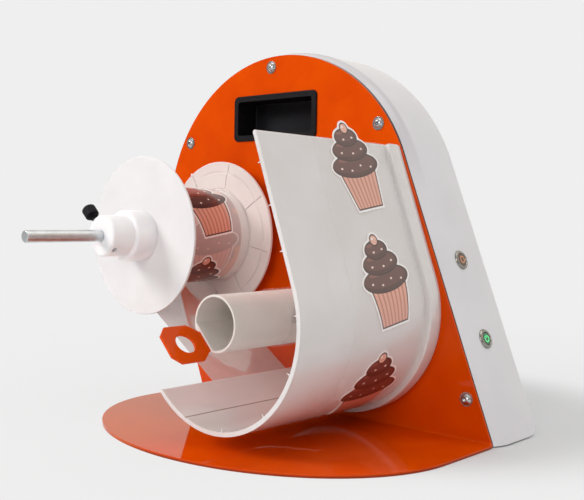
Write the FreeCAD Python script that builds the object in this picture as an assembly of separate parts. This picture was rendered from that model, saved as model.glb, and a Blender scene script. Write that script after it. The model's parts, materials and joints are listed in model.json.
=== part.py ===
import FreeCAD, Part
import math
import os
from FreeCAD import Vector

# Frame: X to the right seen from the front, -Y to the front, +Z up. The origin lies on the underside of the
# base, in the middle of the panel's foot. Distances "ahead" are measured forward from the panel's front face.
panel_y = 6.0

# Running, sliding and seating clearances
run_gap = 0.05
seat_gap = 0.3
hole_gap = 0.25

# Front panel: a leaning arch bent forward into the base plate
sheet = 3.0
bend_radius = 3.0
foot_half = 195.5
panel_height = 385.0
lean = 21.5
base_reach = 234.5
base_straight = 80.0

# Rear housing
cover_wall = 2.5
cover_inset = 0.3
cover_gap = 0.8
cover_flare = 4.5
cover_flare_length = 15.0
cover_depth = 88.0
cover_round = 12.0
cover_heel = 17.0
boss_radius = 6.5

# Panel screws: flanged button heads
screw_inset = 11.5
screw_angles = [94.0, 36.2, 147.7]
low_screw_z = 41.3
screw_radius = 3.0
screw_length = 18.0
screw_flange_radius = 6.9
screw_flange = 0.9
screw_dome_radius = 5.4
screw_dome = 3.4
screw_bore_spare = 4.0
hex_key = 4.0

# Handle cup
handle_x = -85.9
handle_drop = 66.8
handle_width = 124.0
handle_height = 51.2
handle_border = 6.5
handle_frame = 2.0
handle_depth = 30.0
handle_wall = 2.0
handle_corner = 6.0

# Web guide: an arc with a flat tangent to it, leaning like the panel
guide_x = 32.3
guide_z = 117.9
guide_inner = 96.8
guide_wall = 4.0
guide_lean = 20.2
guide_flat = 134.7
guide_lip = 133.0
guide_reach = 198.6
foot_wall = 7.5
rim_wall = 9.6
rim_front = 21.0
rim_back = 5.0
rim_round = 1.6
guide_screw_radius = 1.5
guide_screw_depth = 9.0
small_head_radius = 3.0
small_head = 2.0
guide_screw_angles = [-115.0, -70.0, -25.0]
guide_seam_angle = -110.8
guide_seam_radius = 0.5
guide_screw_rises = [30.0, 105.0]

# Web, labels and rolls
web = 0.4
web_gap = 0.05
web_back = 23.0
web_width = 106.0
label = 0.25
label_size = 89.0
label_pitch = 108.8
label_first = 111.0
label_count = 5
label_tilt = 9.0
cup_corners = [(-0.47, -1.0), (0.47, -1.0), (0.68, -0.1), (-0.68, -0.1)]
swirl_ovals = [(0.04, 0.82, 0.19, 0.18), (0, 0.0, 0.84, 0.32), (0, 0.34, 0.66, 0.3), (0, 0.62, 0.44, 0.26)]

# Supply spindle
spindle_x = -151.1
spindle_z = 185.4
rod_radius = 6.0
rod_ahead = 271.0
rod_behind = 66.0
rod_chamfer = 1.0
disc_radius = 85.3
back_disc_wall = 4.0
front_disc_wall = 3.0
ring_radii = [71.0, 53.0]
ring_step = 0.8
seam_count = 8
seam_width = 0.8
seam_depth = 0.3
rim_seam_depth = 0.5
rim_seam_land = 2.0
disc_bevel = 1.0
front_disc_round = 0.9
core_radius = 41.0
core_wall = 3.0
roll_radius = 52.0
hub_wall = 3.0
hub_boss = 11.0
hub_rib_count = 4

# Front hub with its thumb screw
hub_ring_radius = 26.5
hub_ring_length = 25.0
hub_collar_radius = 21.3
hub_collar_length = 27.0
hub_ring_round = 2.5
hub_collar_round = 3.5
thumb_angle = 138.0
thumb_place = 6.0
thumb_radius = 3.0
thumb_head_radius = 7.0
thumb_head_length = 12.0
thumb_head_chamfer = 1.2
thumb_neck_radius = 4.34
thumb_neck = 2.0
thumb_ridge_count = 16
thumb_ridge_radius = 0.7
thumb_stand = 7.7
grub_angle = -42.0
grub_depth = 2.5

# Spindle bearing behind the panel
bearing_radius = 14.0
bearing_width = 8.0
block_radius = 19.0
block_flange = 28.0
block_flange_wall = 5.0
block_length = 40.0
block_nose = 1.5
block_bore_spare = 2.0
block_screw_radius = 2.0
block_screw_head_radius = 3.8
block_screw_head = 1.6
block_screw_round = 1.0
block_screw_spare = 5.0
block_nut_across = 7.0
block_nut_wall = 3.0
shield_land = 2.2
shield_depth = 0.5
collar_radius = 11.0
collar_width = 9.0
collar_screw_radius = 1.6
washer_wall = 0.6
washer_rise = 1.0

# Take-up tube and key
tube_x = 34.5
tube_z = 115.0
tube_radius = 25.4
tube_wall = 2.0
tube_reach = 199.0
tube_back = 11.0
flat_angle = 224.0
flat_distance = 19.6
key_wall = 2.5
key_blade_half = 10.5
key_shift = 3.5
key_head_half = 19.1
key_head_length = 43.0
key_head_start = 1.0
key_blade_spare = 3.0
key_blade_back = 8.0
key_cut = 8.0
key_rear_cut = 10.4
key_hole_radius = 9.6
wrap_wall = 0.75

# Take-up drive
shaft_radius = 4.0
shaft_chamfer = 0.6
plug_length = 12.0
plug_boss_radius = 10.0
plug_boss_length = 22.0
bushing_radius = 9.0
bushing_flange = 13.0
bushing_flange_wall = 2.5
bushing_gap = 2.0
coupler_radius = 9.0
coupler_start = 14.0
coupler_length = 20.0
coupler_screw_radius = 1.5
motor_plate_behind = 37.0
motor_plate_wall = 2.0
motor_plate_half = 27.0
motor_radius = 18.5
gearbox_length = 20.0
can_radius = 17.0
can_length = 21.0
motor_shaft_radius = 3.0
motor_shaft_stop = 2.0
motor_head_radius = 2.7
motor_screw_circle = 15.5
post_radius = 4.0
post_inset = 6.0

# Push-buttons on the right side
button_rises = [181.7, 101.2]
button_behind = 37.9
button_flange_radius = 9.8
button_flange = 2.2
button_bevels = [(0.0, 1.32), (0.7, 0.44), (1.6, 0.0)]
button_well_bevel = 0.6
button_well_drop = 0.5
button_barrel_radius = 8.0
button_barrel_length = 22.0
button_cap_radius = 6.2
button_cap_length = 4.5
button_cap_drop = 0.3
button_cap_bevel = 0.5
button_travel = 2.5
button_nut_wall = 3.5
button_nut_radius = 11.0

# Controller and power inlet
board_x = -110.0
board_z = 75.0
board_width = 76.0
board_height = 52.0
board_wall = 1.6
board_stand = 8.0
board_inset = 5.0
board_post_radius = 3.75
terminal_block = {"x": -29.0, "z": 0.0, "width": 10.0, "height": 28.0, "rise": 10.0}
relay = {"x": 11.5, "z": 0.0, "width": 19.0, "height": 16.0, "rise": 15.0}
trimmer = {"x": 29.0, "z": 9.0, "width": 10.0, "height": 10.0, "rise": 8.0}
capacitors = [{"x": -12.0, "z": 10.0, "radius": 5.0, "rise": 12.0},
              {"x": -12.0, "z": -6.0, "radius": 4.0, "rise": 11.0}]
inlet_x = -120.0
inlet_z = 36.0
inlet_radius = 5.5
inlet_flange = 2.0
inlet_flange_wall = 1.5
inlet_length = 14.0
inlet_bore = 3.2
inlet_bore_depth = 10.0
inlet_pin = 1.0
inlet_pin_back = 0.5
inlet_nut_across = 14.3
inlet_nut_wall = 3.0
inlet_nut_sink = 0.1

# Places worked out from the sizes above
slope = math.radians(lean)
arch_radius = foot_half * math.cos(slope)
arch_z = panel_height - arch_radius
arch_x = -arch_z * math.tan(slope)
guide_tilt = math.radians(guide_lean)
guide_outer = guide_inner + guide_wall
wrap_inner = math.hypot(key_blade_half + key_shift, flat_distance + key_wall) + seat_gap
wrap_outer = wrap_inner + wrap_wall
web_front = web_back + web_width
back_disc_front = web_back - seat_gap
back_disc_rear = back_disc_front - back_disc_wall
front_disc_rear = web_front + seat_gap
front_disc_front = front_disc_rear + front_disc_wall
hub_front = front_disc_front + hub_ring_length + hub_collar_length
cover_inner_back = cover_depth - cover_wall
handle_z = panel_height - handle_drop


def ahead(x, distance, z):
    """Point at x, z and a distance ahead of the panel's front face."""
    return Vector(x, panel_y - distance, z)


def polar(x, z, radius, angle):
    """Point in the XZ plane, angle in radians from +X towards +Z."""
    return (x + radius * math.cos(angle), z + radius * math.sin(angle))


def line(a, b):
    return Part.LineSegment(Vector(a[0], 0, a[1]), Vector(b[0], 0, b[1])).toShape()


def arc(a, b, c):
    return Part.Arc(Vector(a[0], 0, a[1]), Vector(b[0], 0, b[1]), Vector(c[0], 0, c[1])).toShape()


def prism(edges, front, back):
    """Closed outline in XZ, carried along Y from front to back, both distances ahead of the panel."""
    face = Part.Face(Part.Wire(edges))
    face.translate(Vector(0, panel_y - front, 0))
    return face.extrude(Vector(0, front - back, 0))


def polygon(points):
    return [line(a, b) for a, b in zip(points, points[1:] + points[:1])]


def rod(x, z, radius, front, back):
    """Cylinder along Y."""
    return Part.makeCylinder(radius, front - back, ahead(x, front, z), Vector(0, 1, 0))


def tube(x, z, outer, inner, front, back):
    return rod(x, z, outer, front, back).cut(rod(x, z, inner, front + 1, back - 1))


def box(x0, x1, front, back, z0, z1):
    return Part.makeBox(x1 - x0, front - back, z1 - z0, ahead(x0, front, z0))


def turned(profile, x, z):
    """Revolve a profile of (radius, distance ahead) points about the Y axis through x, z."""
    points = [ahead(x + radius, distance, z) for radius, distance in profile]
    face = Part.Face(Part.makePolygon(points + points[:1]))
    return face.revolve(ahead(x, 0, z), Vector(0, 1, 0), 360)


def hexagon_bar(across, front, back, x, z):
    corner = across / math.sqrt(3)
    points = [polar(x, z, corner, math.radians(60 * k)) for k in range(6)]
    return prism(polygon(points), front, back)


def joined(shapes):
    result = shapes[0]
    for shape in shapes[1:]:
        result = result.fuse(shape)
    return result.removeSplitter()


def edges_along(shape, test):
    """Edges whose two ends both pass the test."""
    return [edge for edge in shape.Edges if all(test(v.Point) for v in edge.Vertexes)]


def save(name, shape):
    shape.exportStep("parts/" + name + ".step")


# Arch outline, shared by the panel and the housing
def arch_outline(grow, bottom):
    """Leaning arch with parallel sides, grown outward, cut off at the bottom height."""
    half = (arch_radius + grow) / math.cos(slope)
    shift = -bottom * math.tan(slope)
    left = polar(arch_x, arch_z, arch_radius + grow, math.pi + slope)
    right = polar(arch_x, arch_z, arch_radius + grow, slope)
    top = polar(arch_x, arch_z, arch_radius + grow, math.pi / 2 + slope)
    feet = [(shift - half, bottom), (shift + half, bottom)]
    return [line(feet[0], feet[1]), line(feet[1], right), arc(right, top, left), line(left, feet[0])]


def arch(grow, front, back, bottom):
    return prism(arch_outline(grow, bottom), front, back)


def screw_places():
    inset = arch_radius - screw_inset
    places = [polar(arch_x, arch_z, inset, math.radians(angle)) for angle in screw_angles]
    middle = -low_screw_z * math.tan(slope)
    half = inset / math.cos(slope)
    return places + [(middle + half, low_screw_z), (middle - half, low_screw_z)]


def rounded_block(x, z, width, height, corner, front, back):
    block = box(x - width / 2, x + width / 2, front, back, z - height / 2, z + height / 2)
    upright = [edge for edge in block.Edges if abs(edge.Vertexes[0].X - edge.Vertexes[1].X) < 0.01
               and abs(edge.Vertexes[0].Z - edge.Vertexes[1].Z) < 0.01]
    return block.makeFillet(corner, upright)


# Web path round the guide: places at an offset from the guide's inner face
def guide_point(offset, travel):
    """Point on the guide; travel runs up the flat from its tangent point, and is negative down the arc."""
    radius = guide_inner + offset
    angle = guide_tilt + min(travel, 0) / (guide_outer + web_gap)
    x, z = polar(guide_x, guide_z, radius, angle)
    rise = max(travel, 0)
    return (x - rise * math.sin(guide_tilt), z + rise * math.cos(guide_tilt))


def guide_normal(travel):
    return guide_tilt + min(travel, 0) / (guide_outer + web_gap)


def guide_strip(inner, outer, low_angle, high, front, back, round_top=False, round_low=False):
    """Strip between two offsets, from low_angle (degrees) up the arc and the flat to the travel high."""
    low = math.radians(low_angle)
    middle = (low + guide_tilt) / 2
    a_low, b_low = (polar(guide_x, guide_z, guide_inner + o, low) for o in (inner, outer))
    a_mid, b_mid = (polar(guide_x, guide_z, guide_inner + o, middle) for o in (inner, outer))
    a_tan, b_tan = guide_point(inner, 0), guide_point(outer, 0)
    a_top, b_top = guide_point(inner, high), guide_point(outer, high)
    half = (outer - inner) / 2
    cap = guide_point((inner + outer) / 2, high + half)
    lip = polar(guide_x, guide_z, guide_inner + (inner + outer) / 2, low)
    lip = (lip[0] + half * math.sin(low), lip[1] - half * math.cos(low))
    edges = [arc(a_low, a_mid, a_tan), line(a_tan, a_top)]
    edges.append(arc(a_top, cap, b_top) if round_top else line(a_top, b_top))
    edges += [line(b_top, b_tan), arc(b_tan, b_mid, b_low)]
    edges.append(arc(b_low, lip, a_low) if round_low else line(b_low, a_low))
    return prism(edges, front, back)


def tangent_line(ax, az, a_radius, bx, bz, b_radius, turn):
    """Unit direction, square to a straight line that touches two circles, and the angle it lies at.
    A negative b_radius puts the line on the other side of the second circle."""
    gap = math.hypot(bx - ax, bz - az)
    heading = math.atan2(bz - az, bx - ax)
    return heading + turn * math.acos((a_radius - b_radius) / gap)


def strip_between(start, end, side, thickness, front, back):
    step = (thickness * math.cos(side), thickness * math.sin(side))
    points = [start, end, (end[0] + step[0], end[1] + step[1]), (start[0] + step[0], start[1] + step[1])]
    return prism(polygon(points), front, back)


# Panel, housing and what fastens them
def front_panel():
    wide = foot_half + arch_radius
    inner = bend_radius
    outer = bend_radius + sheet
    heel = -sheet
    bent = box(-wide, wide, 0, heel, outer, panel_height + 1)
    bent = bent.fuse(box(-wide, wide, base_reach + 1, inner, 0, sheet))
    corner = box(-wide, wide, inner, heel, 0, outer)
    centre = ahead(-wide, inner, outer)
    outside = Part.makeCylinder(outer, 2 * wide, centre, Vector(1, 0, 0))
    inside = Part.makeCylinder(inner, 2 * wide, centre, Vector(1, 0, 0))
    bent = bent.fuse(corner.common(outside).cut(inside))
    oval = Part.Ellipse(ahead(0, base_straight, 0), foot_half, base_reach - base_straight)
    half_oval = Part.ArcOfEllipse(oval, math.pi, 2 * math.pi).toShape()
    left, right = ahead(-foot_half, base_straight, 0), ahead(foot_half, base_straight, 0)
    back_left, back_right = ahead(-foot_half, inner, 0), ahead(foot_half, inner, 0)
    sides = [Part.makeLine(back_left, left), half_oval, Part.makeLine(right, back_right),
             Part.makeLine(back_right, back_left)]
    plan = Part.Face(Part.Wire(Part.__sortEdges__(sides))).extrude(Vector(0, 0, sheet))
    shape = bent.common(plan.fuse(arch(0, inner, heel, 0)))
    for x, z in screw_places():
        shape = shape.cut(rod(x, z, screw_radius + hole_gap, 1, heel - 1))
    inset = 2 * (handle_border - handle_wall - hole_gap)
    shape = shape.cut(rounded_block(handle_x, handle_z, handle_width - inset, handle_height - inset,
                                    handle_corner - handle_wall + hole_gap, 1, heel - 1))
    shape = shape.cut(rod(spindle_x, spindle_z, bearing_radius + hub_wall + hole_gap, 1, heel - 1))
    shape = shape.cut(rod(tube_x, tube_z, bushing_radius + hole_gap, 1, heel - 1))
    for x, z in guide_screw_places():
        shape = shape.cut(rod(x, z, guide_screw_radius + hole_gap, 1, heel - 1))
    for x, z in block_screw_places():
        shape = shape.cut(rod(x, z, block_screw_radius + hole_gap, 1, heel - 1))
    return shape.removeSplitter()


def cover_shell(inside, back, bottom):
    """Body that flares out behind the panel, its rear edges and its heel rounded, set in by a distance."""
    wide = cover_flare - inside
    turn = -sheet - cover_flare_length
    rear = panel_y - back
    heel = cover_heel - inside
    block = arch(wide, turn, back, bottom - heel)
    edges = edges_along(block, lambda p: abs(p.y - rear) < 0.01)
    block = block.makeFillet(cover_round - inside, [edge for edge in edges if edge.BoundBox.ZLength > 0.01])
    reach = foot_half + panel_height
    envelope = Part.makeBox(2 * reach, rear - panel_y, reach, Vector(-reach, panel_y, bottom))
    low = edges_along(envelope, lambda p: abs(p.y - rear) < 0.01 and abs(p.z - bottom) < 0.01)
    block = block.common(envelope.makeFillet(heel, low))
    mouth = Part.Wire(arch_outline(-cover_inset - inside, bottom))
    mouth.translate(Vector(0, panel_y + sheet + cover_gap, 0))
    shoulder = Part.Wire(arch_outline(wide, bottom))
    shoulder.translate(Vector(0, panel_y - turn, 0))
    return block.fuse(Part.makeLoft([mouth, shoulder], True, True)).removeSplitter()


def rear_housing():
    half_wall = cover_wall / 2
    outer = cover_shell(0, -cover_depth, 0)
    inner = cover_shell(cover_wall, -cover_inner_back, cover_wall)
    shape = outer.cut(inner)
    middle = cover_shell(half_wall, -cover_inner_back - half_wall, 0)
    for x, z in screw_places():
        boss = rod(x, z, boss_radius, -sheet, -cover_inner_back - half_wall).common(middle)
        shape = shape.fuse(boss).cut(rod(x, z, screw_radius + run_gap, 1, -screw_length - screw_bore_spare))
    for place, normal in button_places():
        start = place - normal * (2 * cover_wall)
        shape = shape.cut(Part.makeCylinder(button_barrel_radius + hole_gap, 5 * cover_wall, start, normal))
    return shape.cut(rod(inlet_x, inlet_z, inlet_radius + hole_gap, -cover_inner_back + 1, -cover_depth - 1))


def panel_screws():
    screws = []
    centre = (screw_dome ** 2 - screw_dome_radius ** 2) / (2 * screw_dome)
    ball = math.hypot(screw_dome_radius, centre)
    for x, z in screw_places():
        head = rod(x, z, screw_dome_radius, screw_dome + screw_flange / 2, 0)
        head = head.common(Part.makeSphere(ball, ahead(x, centre + screw_flange / 2, z)))
        flange = rod(x, z, screw_flange_radius, screw_flange, 0)
        shank = rod(x, z, screw_radius, 0, -screw_length)
        screw = joined([shank, flange, head])
        socket = hexagon_bar(hex_key, screw_dome + 1, screw_dome - hex_key / 2, x, z)
        screws.append(screw.cut(socket))
    return Part.makeCompound(screws)


def handle_cup():
    frame = rounded_block(handle_x, handle_z, handle_width, handle_height, handle_corner, handle_frame, 0)
    rim = edges_along(frame, lambda p: abs(p.y - panel_y + handle_frame) < 0.01)
    frame = frame.makeFillet(handle_frame / 2, rim)
    well = 2 * handle_border
    wide, high = handle_width - well, handle_height - well
    cup = rounded_block(handle_x, handle_z, wide + 2 * handle_wall, high + 2 * handle_wall,
                        handle_corner - handle_wall, handle_frame / 4, -handle_depth)
    hollow = rounded_block(handle_x, handle_z, wide, high, handle_corner - handle_wall - 1,
                           handle_frame + 1, -handle_depth + handle_wall)
    floor = edges_along(hollow, lambda p: abs(p.y - panel_y - handle_depth + handle_wall) < 0.01)
    hollow = hollow.makeFillet(handle_wall, floor)
    return frame.fuse(cup).cut(hollow).removeSplitter()


# Guide and web
def guide_screw_places():
    middle = foot_wall / 2
    low = [polar(guide_x, guide_z, guide_inner + middle, math.radians(a)) for a in guide_screw_angles]
    return low + [guide_point(middle, rise) for rise in guide_screw_rises]


def web_guide():
    wall = guide_strip(0, guide_wall, -guide_lip, guide_flat, guide_reach, 0, True, True)
    foot = guide_strip(guide_wall / 2, foot_wall, -guide_lip, guide_flat, rim_front - rim_round, 0)
    rim = guide_strip(guide_wall / 2, rim_wall, -guide_lip, guide_flat, rim_front, rim_back)
    crest = guide_inner + rim_wall
    edges = [edge for edge in rim.Edges if edge.BoundBox.YLength < 0.01 and on_offset(edge, crest)]
    rim = rim.makeFillet(rim_round, edges)
    shape = joined([wall, foot, rim])
    x, z = polar(guide_x, guide_z, guide_inner, math.radians(guide_seam_angle))
    shape = shape.cut(rod(x, z, guide_seam_radius, guide_reach + 1, rim_front))
    for x, z in guide_screw_places():
        shape = shape.cut(rod(x, z, guide_screw_radius + run_gap, guide_screw_depth + 1, -1))
    return shape


def on_offset(edge, radius):
    """Whether an edge lies on the guide's face at this radius, on its arc or its flat."""
    point = edge.valueAt((edge.FirstParameter + edge.LastParameter) / 2)
    across = (point.x - guide_x) * math.cos(guide_tilt) + (point.z - guide_z) * math.sin(guide_tilt)
    around = math.hypot(point.x - guide_x, point.z - guide_z)
    return abs(around - radius) < 0.01 or abs(across - radius) < 0.01


def guide_screws():
    screws = []
    for x, z in guide_screw_places():
        shank = rod(x, z, guide_screw_radius, guide_screw_depth, -sheet)
        screws.append(shank.fuse(rod(x, z, small_head_radius, -sheet, -sheet - small_head)))
    return Part.makeCompound(screws)


def lead_side():
    """Angle of the lead's outward side, tangent to the roll and to the guide's outer face."""
    return tangent_line(spindle_x, spindle_z, roll_radius + seat_gap, guide_x, guide_z,
                        guide_outer + web_gap, -1)


def lead_ends():
    side = lead_side()
    return (polar(spindle_x, spindle_z, roll_radius + seat_gap, side),
            polar(guide_x, guide_z, guide_outer + web_gap, side))


def web_lead():
    start, end = lead_ends()
    return strip_between(start, end, lead_side(), web, web_front, web_back)


def web_wrap():
    low = math.degrees(lead_side())
    strip = guide_strip(guide_wall + web_gap, guide_wall + web_gap + web, low, guide_flat,
                        web_front, web_back)
    x, z = guide_point(guide_wall / 2, guide_flat)
    bend = guide_wall / 2 + web_gap
    fold = tube(x, z, bend + web, bend, web_front, web_back)
    side = strand_side()
    reach = 4 * bend
    rise = Vector(-math.sin(guide_tilt), 0, math.cos(guide_tilt)) * reach
    corner = guide_point(guide_wall / 2, guide_flat)
    out = polar(corner[0], corner[1], reach, guide_tilt)
    back = polar(corner[0], corner[1], reach, side)
    sector = polygon([corner, out, (out[0] + rise.x, out[1] + rise.z),
                      (back[0] + rise.x, back[1] + rise.z), back])
    return strip.fuse(fold.common(prism(sector, web_front, web_back))).removeSplitter()


def strand_side():
    """Angle of the liner strand's side at the top edge; the strand crosses to the tube's other side."""
    x, z = guide_point(guide_wall / 2, guide_flat)
    return tangent_line(x, z, guide_wall / 2 + web_gap + web, tube_x, tube_z, -wrap_outer - seat_gap, -1)


def liner_strand():
    side = strand_side()
    x, z = guide_point(guide_wall / 2, guide_flat)
    start = polar(x, z, guide_wall / 2 + web_gap, side)
    end = polar(tube_x, tube_z, -wrap_outer - seat_gap - web, side)
    return strip_between(start, end, side, web, web_front, web_back)


def oval_bar(y, z, long_half, short_half, turn):
    """Oval across Y and up Z, in halves of the label's size, turned in its plane, long both ways in X."""
    unit = label_size / 2
    curve = Part.Ellipse(Vector(0, 0, 0), long_half * unit, short_half * unit)
    face = Part.Face(Part.Wire(curve.toShape()))
    face.rotate(Vector(0, 0, 0), Vector(1, 1, 1), 120)
    face.rotate(Vector(0, 0, 0), Vector(1, 0, 0), turn)
    face.translate(Vector(-unit, y * unit, z * unit))
    return face.extrude(Vector(2 * unit, 0, 0))


def place_label(x, z, normal):
    """Die-cut outline of a small cake in its paper cup, as a bar that faces along the normal angle."""
    unit = label_size / 2
    points = [Vector(-unit, across * unit, up * unit) for across, up in cup_corners]
    cup_bar = Part.Face(Part.makePolygon(points + points[:1])).extrude(Vector(2 * unit, 0, 0))
    swirl = [oval_bar(y, up, long_half, short_half, 0) for y, up, long_half, short_half in swirl_ovals]
    solid = joined([cup_bar] + swirl)
    solid.rotate(Vector(0, 0, 0), Vector(1, 0, 0), label_tilt)
    solid.rotate(Vector(0, 0, 0), Vector(0, 1, 0), -math.degrees(normal))
    solid.translate(ahead(x, web_back + web_width / 2, z))
    return solid


def web_labels():
    base = guide_wall + web_gap + web + web_gap
    low = math.degrees(lead_side())
    sheet_round = guide_strip(base, base + label, low, guide_flat + label_size, web_front, web_back)
    side = lead_side()
    start, end = lead_ends()
    lift = ((web + web_gap) * math.cos(side), (web + web_gap) * math.sin(side))
    start = (start[0] + lift[0], start[1] + lift[1])
    end = (end[0] + lift[0], end[1] + lift[1])
    whole = sheet_round.fuse(strip_between(start, end, side, label, web_front, web_back)).removeSplitter()
    arc_length = (guide_outer + web_gap) * (guide_tilt - side)
    labels = []
    for k in range(label_count):
        travel = label_first - k * label_pitch
        past = max(0, -arc_length - travel)
        normal = max(side, guide_normal(travel))
        x, z = guide_point(base, max(travel, -arc_length))
        labels.append(whole.common(place_label(x + past * math.sin(side), z - past * math.cos(side), normal)))
    return Part.makeCompound([solid for shape in labels for solid in shape.Solids])


# Supply spindle and roll
def spindle_rod():
    shape = rod(spindle_x, spindle_z, rod_radius, rod_ahead, -rod_behind)
    return shape.makeChamfer(rod_chamfer, [edge for edge in shape.Edges if edge.BoundBox.YLength < 0.01])


def back_disc():
    front, rear = back_disc_front, back_disc_rear
    outer, inner = ring_radii
    low = front - ring_step
    hub, hub_rear = hub_boss + hub_wall, block_nose + seat_gap
    face = [(hub, rear), (hub, hub_rear), (rod_radius, hub_rear), (rod_radius, front),
            (inner - ring_step, front), (inner, low), (inner + ring_step, front),
            (outer - ring_step, front), (outer, low),
            (disc_radius - disc_bevel, low), (disc_radius, low - disc_bevel), (disc_radius, rear)]
    shape = turned(face, spindle_x, spindle_z)
    for k in range(seam_count):
        turn = 360 / seam_count * (k + 0.5) + lean / 2
        seam = box(inner + ring_step / 2, outer - ring_step / 2, front + 1, low - seam_depth,
                   -seam_width / 2, seam_width / 2)
        seam = seam.fuse(box(outer + ring_step, disc_radius - rim_seam_land, front + 1,
                             low - rim_seam_depth, -seam_width / 2, seam_width / 2))
        seam.rotate(Vector(0, 0, 0), Vector(0, 1, 0), -turn)
        seam.translate(Vector(spindle_x, 0, spindle_z))
        shape = shape.cut(seam)
    return shape


def core_hub():
    inner_radius = core_radius - core_wall - hole_gap
    front, back = web_front, back_disc_front
    shape = tube(spindle_x, spindle_z, inner_radius, inner_radius - hub_wall, front, back)
    shape = shape.fuse(tube(spindle_x, spindle_z, hub_boss, rod_radius, front, back))
    for k in range(hub_rib_count):
        rib = box(hub_boss - 1, inner_radius - hub_wall + 1, front, back, -hub_wall / 2, hub_wall / 2)
        rib.rotate(Vector(0, 0, 0), Vector(0, 1, 0), 360 / hub_rib_count * k)
        rib.translate(Vector(spindle_x, 0, spindle_z))
        shape = shape.fuse(rib)
    return shape.removeSplitter()


def rounded_corner(radius, front, rounding):
    """Profile points of a quarter turn, from the outside radius round to the front face."""
    steps = 4
    turns = [math.radians(90 * k / steps) for k in range(steps + 1)]
    return [(radius - rounding * (1 - math.cos(turn)), front - rounding * (1 - math.sin(turn)))
            for turn in turns]


def front_hub():
    base = front_disc_front
    ring_front = base + hub_ring_length
    bore = rod_radius + run_gap
    profile = [(bore, base), (hub_ring_radius, base)]
    profile += rounded_corner(hub_ring_radius, ring_front, hub_ring_round)
    profile += [(hub_collar_radius, ring_front)]
    profile += rounded_corner(hub_collar_radius, hub_front, hub_collar_round)
    shape = turned(profile + [(bore, hub_front)], spindle_x, spindle_z)
    place = ahead(spindle_x, thumb_ahead(), spindle_z)
    shape = shape.cut(Part.makeCylinder(thumb_radius + run_gap, hub_ring_radius, place, spoke(thumb_angle)))
    return shape.cut(Part.makeCylinder(thumb_radius, hub_ring_radius, place, spoke(grub_angle)))


def front_disc():
    shape = tube(spindle_x, spindle_z, disc_radius, rod_radius + run_gap, front_disc_front, front_disc_rear)
    rims = [edge for edge in shape.Edges if edge.BoundBox.XLength > disc_radius]
    return shape.makeFillet(front_disc_round, rims)


def thumb_ahead():
    return hub_front - thumb_place


def spoke(angle):
    return Vector(math.cos(math.radians(angle)), 0, math.sin(math.radians(angle)))


def thumb_screw():
    """Knurled head on a shank that points at the rod."""
    axis = spoke(thumb_angle)
    start = ahead(spindle_x, thumb_ahead(), spindle_z) + axis * (rod_radius + seat_gap)
    shoulder = hub_collar_radius + thumb_stand
    shank = Part.makeCylinder(thumb_radius, shoulder - rod_radius - seat_gap, start, axis)
    place = ahead(spindle_x, thumb_ahead(), spindle_z) + axis * shoulder
    neck = Part.makeCylinder(thumb_neck_radius, thumb_neck + 1, place - axis * thumb_neck, axis)
    head = Part.makeCylinder(thumb_head_radius, thumb_head_length, place, axis)
    head = head.makeChamfer(thumb_head_chamfer, [edge for edge in head.Edges if edge.isClosed()])
    side = axis.cross(Vector(0, 1, 0))
    for k in range(thumb_ridge_count):
        turn = 2 * math.pi * k / thumb_ridge_count
        out = side * math.cos(turn) + Vector(0, 1, 0) * math.sin(turn)
        low = place - axis + out * thumb_head_radius
        groove = Part.makeCylinder(thumb_ridge_radius, thumb_head_length + 2, low, axis)
        head = head.cut(groove)
    return joined([shank, neck, head])


def grub_screw():
    axis = spoke(grub_angle)
    start = ahead(spindle_x, thumb_ahead(), spindle_z) + axis * (rod_radius + seat_gap)
    length = hub_collar_radius - rod_radius - grub_depth
    return Part.makeCylinder(thumb_radius - run_gap, length, start, axis)


def block_screw_places():
    circle = (block_flange + block_radius) / 2
    return [polar(spindle_x, spindle_z, circle, math.radians(45 + 90 * k)) for k in range(4)]


def spindle_block():
    nose = bearing_radius + hub_wall
    shape = rod(spindle_x, spindle_z, nose, block_nose, -sheet)
    shape = shape.fuse(rod(spindle_x, spindle_z, block_flange, -sheet, -sheet - block_flange_wall))
    shape = shape.fuse(rod(spindle_x, spindle_z, block_radius, -sheet, -sheet - block_length))
    shape = shape.cut(rod(spindle_x, spindle_z, rod_radius + block_bore_spare, block_nose + 1,
                          -sheet - block_length - 1))
    seat = bearing_radius + run_gap
    shape = shape.cut(rod(spindle_x, spindle_z, seat, block_nose + 1, block_nose - bearing_width))
    shape = shape.cut(rod(spindle_x, spindle_z, seat, -sheet - block_length + bearing_width,
                          -sheet - block_length - 1))
    for x, z in block_screw_places():
        shape = shape.cut(rod(x, z, block_screw_radius + run_gap, 1, -sheet - block_flange_wall - 1))
    return shape.removeSplitter()


def spindle_bearings():
    """Two sealed ball bearings, each with a shallow shield groove in both faces."""
    bearings = []
    for front in (block_nose, -sheet - block_length + bearing_width):
        back = front - bearing_width
        ring = tube(spindle_x, spindle_z, bearing_radius, rod_radius + run_gap, front, back)
        wide, narrow = bearing_radius - shield_land, rod_radius + shield_land
        ring = ring.cut(tube(spindle_x, spindle_z, wide, narrow, front + 1, front - shield_depth))
        bearings.append(ring.cut(tube(spindle_x, spindle_z, wide, narrow, back + shield_depth, back - 1)))
    return Part.makeCompound(bearings)


def block_screws():
    screws = []
    for x, z in block_screw_places():
        head = rod(x, z, block_screw_head_radius, block_screw_head, 0)
        crown = edges_along(head, lambda p: abs(p.y - panel_y + block_screw_head) < 0.01)[:1]
        head = head.makeFillet(block_screw_round, crown)
        seat = -sheet - block_flange_wall
        shank = rod(x, z, block_screw_radius, 0, seat - block_screw_spare)
        nut = hexagon_bar(block_nut_across, seat, seat - block_nut_wall, x, z)
        screws.append(joined([head, shank, nut]))
    return Part.makeCompound(screws)


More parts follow.
